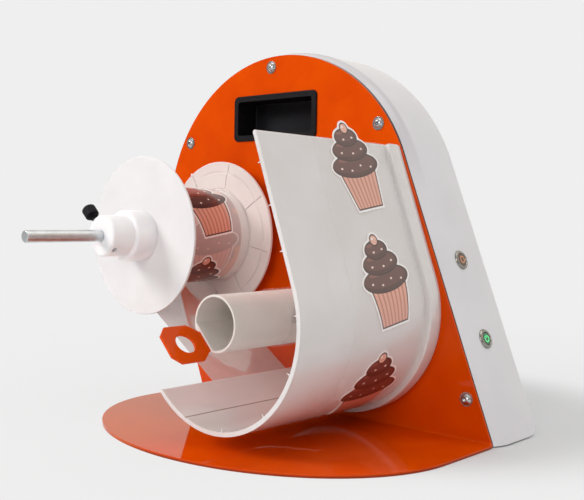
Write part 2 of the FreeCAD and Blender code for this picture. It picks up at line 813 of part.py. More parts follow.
def rod_collar():
    front = -sheet - block_length - 2 * (washer_rise + washer_wall) - 2 * seat_gap
    shape = tube(spindle_x, spindle_z, collar_radius, rod_radius, front, front - collar_width)
    place = ahead(spindle_x, front - collar_width / 2, spindle_z)
    return shape.cut(Part.makeCylinder(collar_screw_radius, collar_radius + 1, place, Vector(0, 0, 1)))


def drag_springs():
    """Two coned washers, narrow ends together, which brake the spindle a little."""
    front = -sheet - block_length - seat_gap
    middle = front - washer_rise - washer_wall - run_gap
    cones = []
    for way in (1, -1):
        wide = middle + way * (washer_rise + washer_wall)
        narrow = middle + way * (washer_wall + run_gap)
        profile = [(rod_radius, narrow), (rod_radius, narrow - way * washer_wall),
                   (collar_radius - 1, wide - way * washer_wall), (collar_radius - 1, wide)]
        cones.append(turned(profile, spindle_x, spindle_z))
    return Part.makeCompound(cones)


# Take-up tube, its key and the drive
def d_bar(radius, distance, front, back):
    """Round bar with a flat at a distance from its centre."""
    bar = rod(tube_x, tube_z, radius, front, back)
    block = Part.makeBox(2 * radius, front - back, 4 * radius)
    block.translate(Vector(distance, 0, -2 * radius))
    block.rotate(Vector(0, 0, 0), Vector(0, 1, 0), -flat_angle)
    block.translate(ahead(tube_x, front, tube_z))
    return bar.cut(block)


def takeup_tube():
    shape = d_bar(tube_radius, flat_distance, tube_reach, tube_back)
    bore = d_bar(tube_radius - tube_wall, flat_distance - tube_wall, tube_reach + 1, tube_back - 1)
    shape = shape.cut(bore)
    lips = d_bar(tube_radius, flat_distance + key_wall, tube_reach, tube_back)
    lips = lips.cut(d_bar(tube_radius + 1, flat_distance, tube_reach + 1, tube_back - 1))
    slot = key_plate(key_blade_half + seat_gap, flat_distance - 1, key_wall + 4, tube_reach + 1,
                     tube_back - 1)
    return shape.fuse(lips.cut(slot)).removeSplitter()


def key_plate(half, distance, thickness, front, back):
    plate = Part.makeBox(thickness, front - back, 2 * half)
    plate.translate(Vector(distance, 0, -half + key_shift))
    plate.rotate(Vector(0, 0, 0), Vector(0, 1, 0), -flat_angle)
    plate.translate(ahead(tube_x, front, tube_z))
    return plate


def liner_key():
    """Blade that slides on the tube's flat, with an eight-sided head and a finger hole in front."""
    gap = seat_gap / 3
    wall = key_wall - gap
    blade = key_plate(key_blade_half, flat_distance + gap, wall, tube_reach + key_blade_spare,
                      tube_back + key_blade_back)
    head_back = tube_reach + key_head_start
    head_front = head_back + key_head_length
    half = key_head_half
    corners = [(-half + key_cut, head_back), (-half, head_back + key_rear_cut), (-half, head_front - key_cut),
               (-half + key_cut, head_front), (half - key_cut, head_front), (half, head_front - key_cut),
               (half, head_back + key_rear_cut), (half - key_cut, head_back)]
    points = [Vector(0, -distance, across + key_shift) for across, distance in corners]
    head = Part.Face(Part.makePolygon(points + points[:1])).extrude(Vector(wall, 0, 0))
    middle = Vector(-1, -(head_front + head_back) / 2, key_shift)
    head = head.cut(Part.makeCylinder(key_hole_radius, wall + 2, middle, Vector(1, 0, 0)))
    head.translate(Vector(flat_distance + gap, 0, 0))
    head.rotate(Vector(0, 0, 0), Vector(0, 1, 0), -flat_angle)
    head.translate(ahead(tube_x, 0, tube_z))
    return blade.fuse(head).removeSplitter()


def liner_wrap():
    flat = flat_distance + key_wall + seat_gap
    outer = d_bar(wrap_outer, flat + wrap_wall, web_front, web_back)
    return outer.cut(d_bar(wrap_inner, flat, web_front + 1, web_back - 1))


def takeup_hub():
    """Plug in the tube's rear end, clamped on the shaft."""
    inset = tube_wall + run_gap
    plug = d_bar(tube_radius - inset, flat_distance - inset, tube_back + plug_length, tube_back)
    front = tube_back + plug_boss_length
    plug = plug.fuse(rod(tube_x, tube_z, plug_boss_radius, front, tube_back))
    return plug.cut(rod(tube_x, tube_z, shaft_radius, front + 1, tube_back - 1)).removeSplitter()


def takeup_shaft():
    front = tube_back + plug_boss_length
    shape = rod(tube_x, tube_z, shaft_radius, front, -coupler_start - coupler_length / 2 + seat_gap)
    return shape.makeChamfer(shaft_chamfer, [edge for edge in shape.Edges if edge.BoundBox.YLength < 0.01])


def shaft_coupler():
    back = -coupler_start - coupler_length
    middle = -coupler_start - coupler_length / 2
    shape = rod(tube_x, tube_z, coupler_radius, -coupler_start, back)
    shape = shape.cut(rod(tube_x, tube_z, shaft_radius, -coupler_start + 1, middle))
    shape = shape.cut(rod(tube_x, tube_z, motor_shaft_radius, middle, back - 1))
    for distance in (-coupler_start - coupler_length / 4, -coupler_start - 3 * coupler_length / 4):
        place = ahead(tube_x, distance, tube_z)
        shape = shape.cut(Part.makeCylinder(coupler_screw_radius, coupler_radius + 1, place, Vector(0, 0, 1)))
    return shape


def takeup_bushing():
    front = tube_back - seat_gap - bushing_gap
    shape = rod(tube_x, tube_z, bushing_radius, 0, -coupler_start + bushing_gap)
    shape = shape.fuse(rod(tube_x, tube_z, bushing_flange, bushing_flange_wall, 0))
    shape = shape.fuse(rod(tube_x, tube_z, bushing_radius, front, 0))
    bore = rod(tube_x, tube_z, shaft_radius + run_gap, tube_back + 1, -coupler_start)
    return shape.cut(bore).removeSplitter()


def motor_post_places():
    reach = motor_plate_half - post_inset
    return [(tube_x + sx * reach, tube_z + sz * reach) for sx in (-1, 1) for sz in (-1, 1)]


def motor_screw_places():
    return [polar(tube_x, tube_z, motor_screw_circle, math.radians(90 * k)) for k in range(4)]


def motor_plate():
    shape = rounded_block(tube_x, tube_z, 2 * motor_plate_half, 2 * motor_plate_half, post_inset,
                          -motor_plate_behind, -motor_plate_behind - motor_plate_wall)
    shape = shape.cut(rod(tube_x, tube_z, 2 * motor_shaft_radius, 0, -cover_depth))
    for x, z in motor_post_places() + motor_screw_places():
        shape = shape.cut(rod(x, z, guide_screw_radius + hole_gap, 0, -cover_depth))
    return shape


def motor_standoffs():
    return Part.makeCompound([rod(x, z, post_radius, -sheet, -motor_plate_behind)
                              for x, z in motor_post_places()])


def gearmotor():
    front = -motor_plate_behind - motor_plate_wall
    box_back = front - gearbox_length
    shape = rod(tube_x, tube_z, motor_radius, front, box_back)
    shape = shape.fuse(rod(tube_x, tube_z, can_radius, box_back, box_back - can_length))
    stop = box_back + motor_shaft_stop
    return shape.cut(rod(tube_x, tube_z, motor_shaft_radius + run_gap, front + 1, stop))


def motor_shaft():
    start = -coupler_start - coupler_length / 2 - seat_gap
    stop = -motor_plate_behind - motor_plate_wall - gearbox_length + motor_shaft_stop
    return rod(tube_x, tube_z, motor_shaft_radius, start, stop + seat_gap)


def motor_screws():
    screws = []
    front, back = -motor_plate_behind, -motor_plate_behind - motor_plate_wall
    for x, z in motor_post_places():
        head = rod(x, z, small_head_radius, back, back - small_head)
        screws.append(head.fuse(rod(x, z, guide_screw_radius, front, back)))
    for x, z in motor_screw_places():
        head = rod(x, z, motor_head_radius, front + small_head, front)
        screws.append(head.fuse(rod(x, z, guide_screw_radius, front, back)))
    return Part.makeCompound(screws)


# Push-buttons, on the housing's leaning right side
def button_places():
    normal = Vector(math.cos(slope), 0, math.sin(slope))
    places = []
    for rise in button_rises:
        x = foot_half + cover_flare / math.cos(slope) - rise * math.sin(slope)
        places.append((ahead(x, -button_behind, rise * math.cos(slope)), normal))
    return places


def turned_on(profile, place, normal):
    """Revolve (radius, height) points about the button's axis."""
    points = [Vector(radius, 0, height) for radius, height in profile]
    shape = Part.Face(Part.makePolygon(points + points[:1])).revolve(Vector(0, 0, 0), Vector(0, 0, 1), 360)
    shape.rotate(Vector(0, 0, 0), Vector(0, 1, 0), 90 - lean)
    shape.translate(place)
    return shape


def button_body(place, normal):
    """Bezel and threaded barrel in one, with the well that the cap moves in."""
    well = button_cap_radius + run_gap
    depth = button_flange - button_cap_length - button_travel - seat_gap
    profile = [(0, -button_barrel_length), (button_barrel_radius, -button_barrel_length),
               (button_barrel_radius, 0), (button_flange_radius, 0)]
    profile += [(button_flange_radius - inset, button_flange - drop) for inset, drop in button_bevels]
    profile += [(well + button_well_bevel, button_flange), (well, button_flange - button_well_drop),
                (well, depth), (0, depth)]
    return turned_on(profile, place, normal)


def button_cap(place, normal):
    top = button_flange - button_cap_drop
    low = top - button_cap_length
    profile = [(0, low), (button_cap_radius, low), (button_cap_radius, top - button_cap_bevel),
               (button_cap_radius - button_cap_bevel, top), (0, top)]
    return turned_on(profile, place, normal)


def button_nuts():
    nuts = []
    for place, normal in button_places():
        points = [Vector(button_nut_radius * math.cos(math.radians(60 * k)),
                         button_nut_radius * math.sin(math.radians(60 * k)), 0) for k in range(6)]
        nut = Part.Face(Part.makePolygon(points + points[:1])).extrude(Vector(0, 0, -button_nut_wall))
        bore_start = Vector(0, 0, -button_nut_wall - 1)
        nut = nut.cut(Part.makeCylinder(button_barrel_radius + run_gap, button_nut_wall + 2, bore_start))
        nut.rotate(Vector(0, 0, 0), Vector(0, 1, 0), 90 - lean)
        nut.translate(place - normal * cover_wall)
        nuts.append(nut)
    return Part.makeCompound(nuts)


# Controller and power inlet
def board_posts():
    across, up = board_width / 2 - board_inset, board_height / 2 - board_inset
    return [(board_x + sx * across, board_z + sz * up) for sx in (-1, 1) for sz in (-1, 1)]


def control_board():
    front = -sheet - board_stand
    shape = box(board_x - board_width / 2, board_x + board_width / 2, front, front - board_wall,
                board_z - board_height / 2, board_z + board_height / 2)
    for x, z in board_posts():
        shape = shape.cut(rod(x, z, guide_screw_radius + hole_gap, 0, -cover_depth))
    return shape


def board_standoffs():
    return Part.makeCompound([rod(x, z, board_post_radius, -sheet, -sheet - board_stand)
                              for x, z in board_posts()])


def board_parts():
    """Terminal block, two capacitors, a relay and a trimmer, seated on the board."""
    seat = -sheet - board_stand - board_wall
    parts = []
    for part in (terminal_block, relay, trimmer):
        x, z = board_x + part["x"], board_z + part["z"]
        half, high = part["width"] / 2, part["height"] / 2
        parts.append(box(x - half, x + half, seat, seat - part["rise"], z - high, z + high))
    for part in capacitors:
        parts.append(rod(board_x + part["x"], board_z + part["z"], part["radius"], seat, seat - part["rise"]))
    return Part.makeCompound(parts)


def power_inlet():
    """Round low-voltage socket with its centre pin and a hexagon nut inside."""
    rear = -cover_depth
    bore_end = rear + inlet_bore_depth
    flange = rod(inlet_x, inlet_z, inlet_radius + inlet_flange, rear, rear - inlet_flange_wall)
    shape = flange.fuse(rod(inlet_x, inlet_z, inlet_radius, rear + inlet_length, rear))
    shape = shape.cut(rod(inlet_x, inlet_z, inlet_bore, bore_end, rear - inlet_flange_wall - 1))
    shape = shape.fuse(rod(inlet_x, inlet_z, inlet_pin, bore_end + 1, rear - inlet_pin_back))
    seat = -cover_inner_back
    nut = hexagon_bar(inlet_nut_across, seat + inlet_nut_wall, seat, inlet_x, inlet_z)
    nut = nut.cut(rod(inlet_x, inlet_z, inlet_radius - inlet_nut_sink, 0, rear))
    return shape.fuse(nut).removeSplitter()


def build():
    os.makedirs("parts", exist_ok=True)
    save("front_panel", front_panel())
    save("rear_housing", rear_housing())
    save("panel_screws", panel_screws())
    save("handle_cup", handle_cup())
    save("web_guide", web_guide())
    save("guide_screws", guide_screws())
    save("web_lead", web_lead())
    save("web_wrap", web_wrap())
    save("liner_strand", liner_strand())
    save("web_labels", web_labels())
    save("spindle_block", spindle_block())
    save("spindle_bearings", spindle_bearings())
    save("block_screws", block_screws())
    save("takeup_bushing", takeup_bushing())
    save("motor_plate", motor_plate())
    save("motor_standoffs", motor_standoffs())
    save("motor_screws", motor_screws())
    save("gearmotor", gearmotor())
    save("control_board", control_board())
    save("board_standoffs", board_standoffs())
    save("board_parts", board_parts())
    save("power_inlet", power_inlet())
    save("button_nuts", button_nuts())
    for name, (place, normal) in zip(("feed_button", "power_button"), button_places()):
        save(name + "_body", button_body(place, normal))
        save(name + "_cap", button_cap(place, normal))
    save("spindle_rod", spindle_rod())
    save("back_disc", back_disc())
    save("core_hub", core_hub())
    save("roll_core", tube(spindle_x, spindle_z, core_radius, core_radius - core_wall, web_front, web_back))
    save("label_roll", tube(spindle_x, spindle_z, roll_radius, core_radius + run_gap, web_front, web_back))
    save("rod_collar", rod_collar())
    save("drag_springs", drag_springs())
    save("front_disc", front_disc())
    save("front_hub", front_hub())
    save("hub_grub_screw", grub_screw())
    save("thumb_screw", thumb_screw())
    save("takeup_tube", takeup_tube())
    save("takeup_hub", takeup_hub())
    save("takeup_shaft", takeup_shaft())
    save("shaft_coupler", shaft_coupler())
    save("motor_shaft", motor_shaft())
    save("liner_wrap", liner_wrap())
    save("liner_key", liner_key())


build()
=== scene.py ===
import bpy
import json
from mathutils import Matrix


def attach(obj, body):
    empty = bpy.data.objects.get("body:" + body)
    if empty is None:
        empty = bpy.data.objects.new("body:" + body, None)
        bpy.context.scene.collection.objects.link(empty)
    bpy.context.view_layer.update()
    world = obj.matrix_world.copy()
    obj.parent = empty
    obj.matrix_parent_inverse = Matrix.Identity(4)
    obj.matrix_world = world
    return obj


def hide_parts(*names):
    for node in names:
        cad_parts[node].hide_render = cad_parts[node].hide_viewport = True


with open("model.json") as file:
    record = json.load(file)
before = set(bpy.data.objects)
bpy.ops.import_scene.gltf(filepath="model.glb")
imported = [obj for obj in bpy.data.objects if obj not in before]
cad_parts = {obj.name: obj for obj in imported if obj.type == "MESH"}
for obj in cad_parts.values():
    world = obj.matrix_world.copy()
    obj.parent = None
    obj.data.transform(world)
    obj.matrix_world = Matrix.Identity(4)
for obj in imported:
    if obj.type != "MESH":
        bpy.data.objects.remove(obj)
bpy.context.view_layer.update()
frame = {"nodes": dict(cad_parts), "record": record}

import json
import math
import bmesh
import bpy
from mathutils import Matrix, Vector

nodes = frame["nodes"]
bodies = frame["record"]["behaviour"]["bodies"]
bodyOf = {member: body for body, members in bodies.items() for member in members}
mm = 0.001
panelFront = 6.0  # the panel's front face, in mm behind the origin


# A point in metres, from sizes in mm, at a distance ahead of the panel
def ahead(x, distance, z):
    return Vector((x, panelFront - distance, z)) * mm


# Colour and nodes
rgba = {"data_type": "RGBA"}
colourA, colourB, colourOut = 6, 7, 2  # a Mix node's colour sockets, which share their names with others
soft = {"interpolation_type": "SMOOTHSTEP"}


def hexToLinear(code):  # by the sRGB curve
    channels = [int(code[k:k + 2], 16) / 255 for k in (0, 2, 4)]
    return tuple(c / 12.92 if c <= 0.04045 else ((c + 0.055) / 1.055) ** 2.4 for c in channels) + (1.0,)


def addNode(tree, kind, settings=None, links=None):
    node = tree.nodes.new(kind)
    for name, value in (settings or {}).items():
        setattr(node, name, value)
    for socket, value in (links or {}).items():
        if isinstance(value, bpy.types.NodeSocket):
            tree.links.new(value, node.inputs[socket])
        else:
            node.inputs[socket].default_value = value
    return node


def newMaterial(name, **values):
    material = bpy.data.materials.new(name)
    material.use_nodes = True
    tree = material.node_tree
    shader = tree.nodes["Principled BSDF"]
    for socket, value in values.items():
        shader.inputs[socket.replace("_", " ")].default_value = value
    return material, tree, shader


# Two close tones, mixed by a soft noise whose patches measure size in mm
def variedColour(tree, shader, first, second, size, detail=2.0, low=0.35, high=0.65):
    place = addNode(tree, "ShaderNodeTexCoord")
    noise = addNode(tree, "ShaderNodeTexNoise", None, {
        "Vector": place.outputs["Object"], "Scale": 1 / (size * mm), "Detail": detail, "Roughness": 0.5})
    ramp = addNode(tree, "ShaderNodeMapRange", None, {
        "Value": noise.outputs["Fac"], "From Min": low, "From Max": high})
    mix = addNode(tree, "ShaderNodeMix", rgba, {
        "Factor": ramp.outputs["Result"], colourA: hexToLinear(first), colourB: hexToLinear(second)})
    tree.links.new(mix.outputs[colourOut], shader.inputs["Base Color"])
    return place, mix.outputs[colourOut]


# A fine relief, its grain size and height in mm
def roughBump(tree, shader, place, size, height, stretch=(1, 1, 1)):
    mapping = addNode(tree, "ShaderNodeMapping", None, {"Vector": place.outputs["Object"], "Scale": stretch})
    grain = addNode(tree, "ShaderNodeTexNoise", None, {
        "Vector": mapping.outputs["Vector"], "Scale": 1 / (size * mm), "Detail": 3.0})
    bump = addNode(tree, "ShaderNodeBump", None, {
        "Height": grain.outputs["Fac"], "Strength": 0.6, "Distance": height * mm})
    tree.links.new(bump.outputs["Normal"], shader.inputs["Normal"])
    return grain


# A paler tone on convex edges, partly a thinner or rubbed coat and partly a painted highlight; where low is
# above high, a painted shade in grooves
def edgeWearAndPaintedLight(tree, shader, colour, tone, low=0.52, high=0.62, share=0.5):
    form = addNode(tree, "ShaderNodeNewGeometry")
    edge = addNode(tree, "ShaderNodeMapRange", None, {
        "Value": form.outputs["Pointiness"], "From Min": low, "From Max": high, "To Max": share})
    edgeTone = addNode(tree, "ShaderNodeMix", rgba, {
        "Factor": edge.outputs["Result"], colourA: colour, colourB: hexToLinear(tone)})
    tree.links.new(edgeTone.outputs[colourOut], shader.inputs["Base Color"])
    return edgeTone.outputs[colourOut]


# A tone where all its zones hold, each a socket with the places in mm where it starts and is full
def tintZone(tree, shader, colour, tone, zones, share=1.0):
    held = share
    for value, start, full, curve in zones:
        zone = addNode(tree, "ShaderNodeMapRange", {"interpolation_type": curve}, {
            "Value": value, "From Min": start * mm, "From Max": full * mm})
        held = addNode(tree, "ShaderNodeMath", {"operation": "MULTIPLY"}, {
            0: zone.outputs["Result"], 1: held}).outputs["Value"]
    tinted = addNode(tree, "ShaderNodeMix", rgba, {
        "Factor": held, colourA: colour, colourB: hexToLinear(tone)})
    tree.links.new(tinted.outputs[colourOut], shader.inputs["Base Color"])
    return tinted.outputs[colourOut]


def variedRoughness(tree, shader, grain, low, high):
    spread = addNode(tree, "ShaderNodeMapRange", None, {
        "Value": grain.outputs["Fac"], "From Min": 0.3, "From Max": 0.7, "To Min": low, "To Max": high})
    tree.links.new(spread.outputs["Result"], shader.inputs["Roughness"])


print("stage: materials")

# Polyester powder coat, sprayed and baked: saturated, with a clear gloss and a very soft orange peel
powderCoat, tree, shader = newMaterial("powderCoatOrange", Roughness=0.5, Coat_Weight=1.0, Coat_Roughness=0.03,
                                       Coat_IOR=1.25, Specular_IOR_Level=0.0)
place, colour = variedColour(tree, shader, "DF4C00", "D84500", size=40)
# Paler edges: partly a thinner coat on the arrises, partly a painted highlight
colour = edgeWearAndPaintedLight(tree, shader, colour, "E85A10", share=0.2)
parts = addNode(tree, "ShaderNodeSeparateXYZ", None, {"Vector": place.outputs["Object"]})
# Painted shade: a contact shade along the base's foot, a shade over the base's left, and the shadow gap where
# the cover meets the panel
coatZones = {  # tone, share, then the axis, start, full place in mm and curve of each zone
    "paintedShadeAlongFoot": ("6A2204", 0.7, [("Z", 2.6, 1.0, "LINEAR")]),
    "paintedShadeOnBaseLeft": ("C65200", 0.9, [("X", 10.0, -70.0, "SMOOTHSTEP"), ("Z", 6.0, 4.0, "LINEAR")]),
    "paintedShadowGapAtCover": ("240B03", 1.0, [("Y", 7.2, 7.8, "LINEAR")]),
}
for tone, share, zones in coatZones.values():
    places = [(parts.outputs[axis], start, full, curve) for axis, start, full, curve in zones]
    colour = tintZone(tree, shader, colour, tone, places, share)
variedRoughness(tree, shader, roughBump(tree, shader, place, size=2.4, height=0.012), low=0.42, high=0.56)

# ABS, injection moulded against a polished tool: bright gloss, slightly cool
glossAbs, tree, shader = newMaterial("glossAbsWhite", Roughness=0.30, Coat_Weight=0.35, Coat_Roughness=0.12)
place, colour = variedColour(tree, shader, "E4E1E4", "DFDCDF", size=60)
roughBump(tree, shader, place, size=3.0, height=0.008)
parts = addNode(tree, "ShaderNodeSeparateXYZ", None, {"Vector": place.outputs["Object"]})
coverZones = {"top": (220.0, 330.0), "flare": (27.0, 21.0), "joint": (9.2, 8.6), "deeper": 2.2}  # in mm
colour = tintZone(tree, shader, colour, "CBC7CB", [  # the flare behind the panel's top stands in its shade
    (parts.outputs["Y"], *coverZones["flare"], "SMOOTHSTEP"),
    (parts.outputs["Z"], *coverZones["top"], "SMOOTHSTEP")])
high = addNode(tree, "ShaderNodeMapRange", soft, {
    "Value": parts.outputs["Z"], "From Min": coverZones["top"][0] * mm, "From Max": coverZones["top"][1] * mm})
edge = addNode(tree, "ShaderNodeMath", {"operation": "MULTIPLY_ADD"}, {
    0: high.outputs["Result"], 1: -coverZones["deeper"] * mm, 2: parts.outputs["Y"]})
tintZone(tree, shader, colour, "1C0F0C", [  # painted shade in the joint behind the panel, deeper toward the top
    (edge.outputs["Value"], *coverZones["joint"], "LINEAR")])

# ABS, extruded or moulded satin: a soft broad sheen and faint flow marks
satinAbs, tree, shader = newMaterial("satinAbsWhite", Roughness=0.42, Subsurface_Weight=0.04,
                                     Subsurface_Radius=(0.004, 0.003, 0.002))
place, _ = variedColour(tree, shader, "E9E6E6", "E4E1E1", size=35)
roughBump(tree, shader, place, size=0.8, height=0.006)

# The back disc, the same ABS beside the orange panel: warmer by a painted orange bounce light, with painted
# shade in its grooves
grooveAbs, tree, shader = newMaterial("satinAbsBackDisc", Roughness=0.38, Subsurface_Weight=0.04)
place, colour = variedColour(tree, shader, "EBDDD8", "E6D7D2", size=35)
edgeWearAndPaintedLight(tree, shader, colour, "A8968F", low=0.492, high=0.45, share=0.75)
roughBump(tree, shader, place, size=0.8, height=0.006)

# PVC pipe, extruded: warmer and greyer than the discs, its cut ends paler
pipePvc, tree, shader = newMaterial("extrudedPipePvc", Roughness=0.36, Coat_Weight=0.2, Coat_Roughness=0.2)
place, colour = variedColour(tree, shader, "E0D8D1", "DAD2CB", size=30)
edgeWearAndPaintedLight(tree, shader, colour, "F2EEEA", share=0.8)
roughBump(tree, shader, place, size=0.7, height=0.008, stretch=(1, 0.15, 1))

# The guide's sheet, satin and a touch greyer than the discs, with a dusty joint line inside its arc
guideAbs, tree, shader = newMaterial("satinAbsGuide", Roughness=0.3, Coat_Weight=0.85, Coat_Roughness=0.16)
place, colour = variedColour(tree, shader, "DEDAD8", "D9D4D1", size=45)
# Paler edges: a painted highlight
colour = edgeWearAndPaintedLight(tree, shader, colour, "EBE5E1", share=0.5)
seam = {"x": 32.3, "z": 117.9, "inner": 97.6, "angle": -110.8, "width": 1.6, "tone": "B3A79E"}  # mm and degrees
parts = addNode(tree, "ShaderNodeSeparateXYZ", None, {"Vector": place.outputs["Object"]})
x = addNode(tree, "ShaderNodeMath", {"operation": "SUBTRACT"}, {0: parts.outputs["X"], 1: seam["x"] * mm})
z = addNode(tree, "ShaderNodeMath", {"operation": "SUBTRACT"}, {0: parts.outputs["Z"], 1: seam["z"] * mm})
turn = addNode(tree, "ShaderNodeMath", {"operation": "ARCTAN2"}, {0: z.outputs["Value"], 1: x.outputs["Value"]})
close = addNode(tree, "ShaderNodeMath", {"operation": "COMPARE"}, {
    0: turn.outputs["Value"], 1: math.radians(seam["angle"]), 2: seam["width"] / 2 / seam["inner"]})
flat = addNode(tree, "ShaderNodeCombineXYZ", None, {"X": x.outputs["Value"], "Y": z.outputs["Value"]})
reach = addNode(tree, "ShaderNodeVectorMath", {"operation": "LENGTH"}, {0: flat.outputs["Vector"]})
inside = addNode(tree, "ShaderNodeMath", {"operation": "LESS_THAN"}, {
    0: reach.outputs["Value"], 1: seam["inner"] * mm})
share = addNode(tree, "ShaderNodeMath", {"operation": "MULTIPLY"}, {
    0: close.outputs["Value"], 1: inside.outputs["Value"]})
dusty = addNode(tree, "ShaderNodeMix", rgba, {
    "Factor": share.outputs["Value"], colourA: colour, colourB: hexToLinear(seam["tone"])})
tree.links.new(dusty.outputs[colourOut], shader.inputs["Base Color"])
roughBump(tree, shader, place, size=0.9, height=0.006)

# Acetal, turned on a lathe: milky, light goes a little way in
milkyAcetal, tree, shader = newMaterial("milkyAcetal", Roughness=0.28, Subsurface_Weight=0.45,
                                        Subsurface_Radius=(0.006, 0.005, 0.0045), Subsurface_Scale=1.0)
place, _ = variedColour(tree, shader, "FAF7F8", "F5F1F2", size=25)
roughBump(tree, shader, place, size=0.35, height=0.004, stretch=(1, 6, 1))

# Black ABS, moulded against a spark-eroded tool: fine grain that breaks the gloss
grainAbs, tree, shader = newMaterial("grainAbsBlack", Roughness=0.5, Specular_IOR_Level=0.12)
place, colour = variedColour(tree, shader, "110F12", "161316", size=6)
# Paler edges: a painted highlight
edgeWearAndPaintedLight(tree, shader, colour, "26262A", share=0.6)
variedRoughness(tree, shader, roughBump(tree, shader, place, size=0.5, height=0.03), low=0.46, high=0.62)

# Zinc-plated steel: a bright cool metal with slight cloudiness
zincSteel, tree, shader = newMaterial("zincPlatedSteel", Metallic=1.0, Roughness=0.22)
place, _ = variedColour(tree, shader, "C9CBCE", "B4B6B8", size=3)
roughBump(tree, shader, place, size=0.4, height=0.004)

# Stainless steel, turned: warm grey metal with fine tool rings
turnedSteel, tree, shader = newMaterial("turnedStainless", Metallic=1.0, Roughness=0.26)
place, colour = variedColour(tree, shader, "9C9893", "827E79", size=4)
# Paler edges: a painted highlight
edgeWearAndPaintedLight(tree, shader, colour, "DAD6CF", share=0.5)
variedRoughness(tree, shader, roughBump(tree, shader, place, size=0.25, height=0.006), low=0.14, high=0.26)

# Steel rod, drawn and centreless ground: satin, fine lines round it
groundRod, tree, shader = newMaterial("groundSteelRod", Metallic=1.0, Roughness=0.36)
place, _ = variedColour(tree, shader, "D6DADC", "C8CCCE", size=8)
roughBump(tree, shader, place, size=0.5, height=0.004, stretch=(0.2, 3, 0.2))

# Sintered bronze: matt, open grain
sinteredBronze, tree, shader = newMaterial("sinteredBronze", Metallic=1.0, Roughness=0.5)
place, _ = variedColour(tree, shader, "B8894A", "9A6E38", size=1.5)
roughBump(tree, shader, place, size=0.3, height=0.02)

# Kraft tube: brown paper fibres
kraftCard, tree, shader = newMaterial("kraftCard", Roughness=0.85)
place, _ = variedColour(tree, shader, "B08F66", "987650", size=2)
roughBump(tree, shader, place, size=0.6, height=0.05, stretch=(1, 0.2, 1))

# Glass-fibre board with green solder resist: deep green, smooth gloss
boardResin, tree, shader = newMaterial("boardResinGreen", Roughness=0.3)
place, _ = variedColour(tree, shader, "0F5A2A", "0A4A22", size=5)
roughBump(tree, shader, place, size=0.6, height=0.01)


# Polypropylene film liner, silicone coated: clear with a milky cast and a sharp gloss
def filmMaterial(name, alpha, first, second, gloss):
    material, tree, shader = newMaterial(name, Roughness=gloss, Alpha=alpha, IOR=1.45)
    place, _ = variedColour(tree, shader, first, second, size=30)
    roughBump(tree, shader, place, size=14, height=0.10)
    material.blend_method = "BLEND"
    return material


clearFilm = filmMaterial("clearLinerFilm", 0.10, "FFFAF8", "F8F1EE", 0.12)
looseFilm = filmMaterial("looseLinerFilm", 0.5, "DCD2CE", "D4C8C4", 0.3)  # a greyer, half-opaque copy of the film: a painted stand-in for its milky reflection at a grazing view

# The film wound on itself: many clear layers over the hidden prints, so brown and peach shine through
woundFilm, tree, shader = newMaterial("woundLabelFilm", Roughness=0.2, Coat_Weight=0.6, Coat_Roughness=0.06)
place, colour = variedColour(tree, shader, "C9B5B2", "DFBBAE", size=22, detail=1.0, low=0.5, high=0.56)
parts = addNode(tree, "ShaderNodeSeparateXYZ", None, {"Vector": place.outputs["Object"]})
woundBand = {"middle": -70.0, "half": (39.5, 41.5), "margin": "E8DFDB"}  # the labels' band on the roll, in mm
offBand = addNode(tree, "ShaderNodeMath", {"operation": "SUBTRACT"}, {
    0: parts.outputs["Y"], 1: woundBand["middle"] * mm})
offBand = addNode(tree, "ShaderNodeMath", {"operation": "ABSOLUTE"}, {0: offBand.outputs["Value"]})
tintZone(tree, shader, colour, woundBand["margin"], [(offBand.outputs["Value"], *woundBand["half"], "LINEAR")])
variedRoughness(tree, shader, roughBump(tree, shader, place, size=6, height=0.03), low=0.16, high=0.26)


# Polycarbonate light guide of a push-button, moulded: clear tint, lit from behind
def lensMaterial(name, first, second, glow, strength):
    material, tree, shader = newMaterial(name, Roughness=0.25, Coat_Weight=0.5, Coat_Roughness=0.05,
                                         Emission_Color=hexToLinear(glow), Emission_Strength=strength)
    place, _ = variedColour(tree, shader, first, second, size=1.5)
    roughBump(tree, shader, place, size=0.4, height=0.004)
    return material


amberCap = lensMaterial("amberCapLens", "57453A", "443730", "8A5030", 0.06)
amberMark = lensMaterial("amberMarkLens", "D98A55", "C2733F", "E88A4A", 0.25)
greenCap = lensMaterial("greenCapLens", "27553C", "1D4530", "1F8A4A", 0.10)
greenMark = lensMaterial("greenMarkLens", "54E08A", "3CCB74", "48F08C", 0.75)


# Meshes
def finishPiece(name, mesh, material, body, replaced=(), sharp=35):
    piece = bpy.data.objects.new(name, mesh)
    bpy.context.scene.collection.objects.link(piece)
    mesh.materials.clear()
    mesh.materials.append(material)
    mesh.shade_smooth()
    mesh.set_sharp_from_angle(angle=math.radians(sharp))
    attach(piece, body)
    if replaced:
        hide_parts(*replaced)
    return piece


# The piece's mesh with its modifiers applied, as a mesh of its own
def plainMesh(piece):
    graph = bpy.context.evaluated_depsgraph_get()
    mesh = bpy.data.meshes.new_from_object(piece.evaluated_get(graph))
    bpy.data.objects.remove(piece)
    return mesh


cover = {"rear": 94.0, "heel": 33.0, "wall": 2.5, "middle": -33.7, "clear": 1.0, "cuts": 7}  # in mm


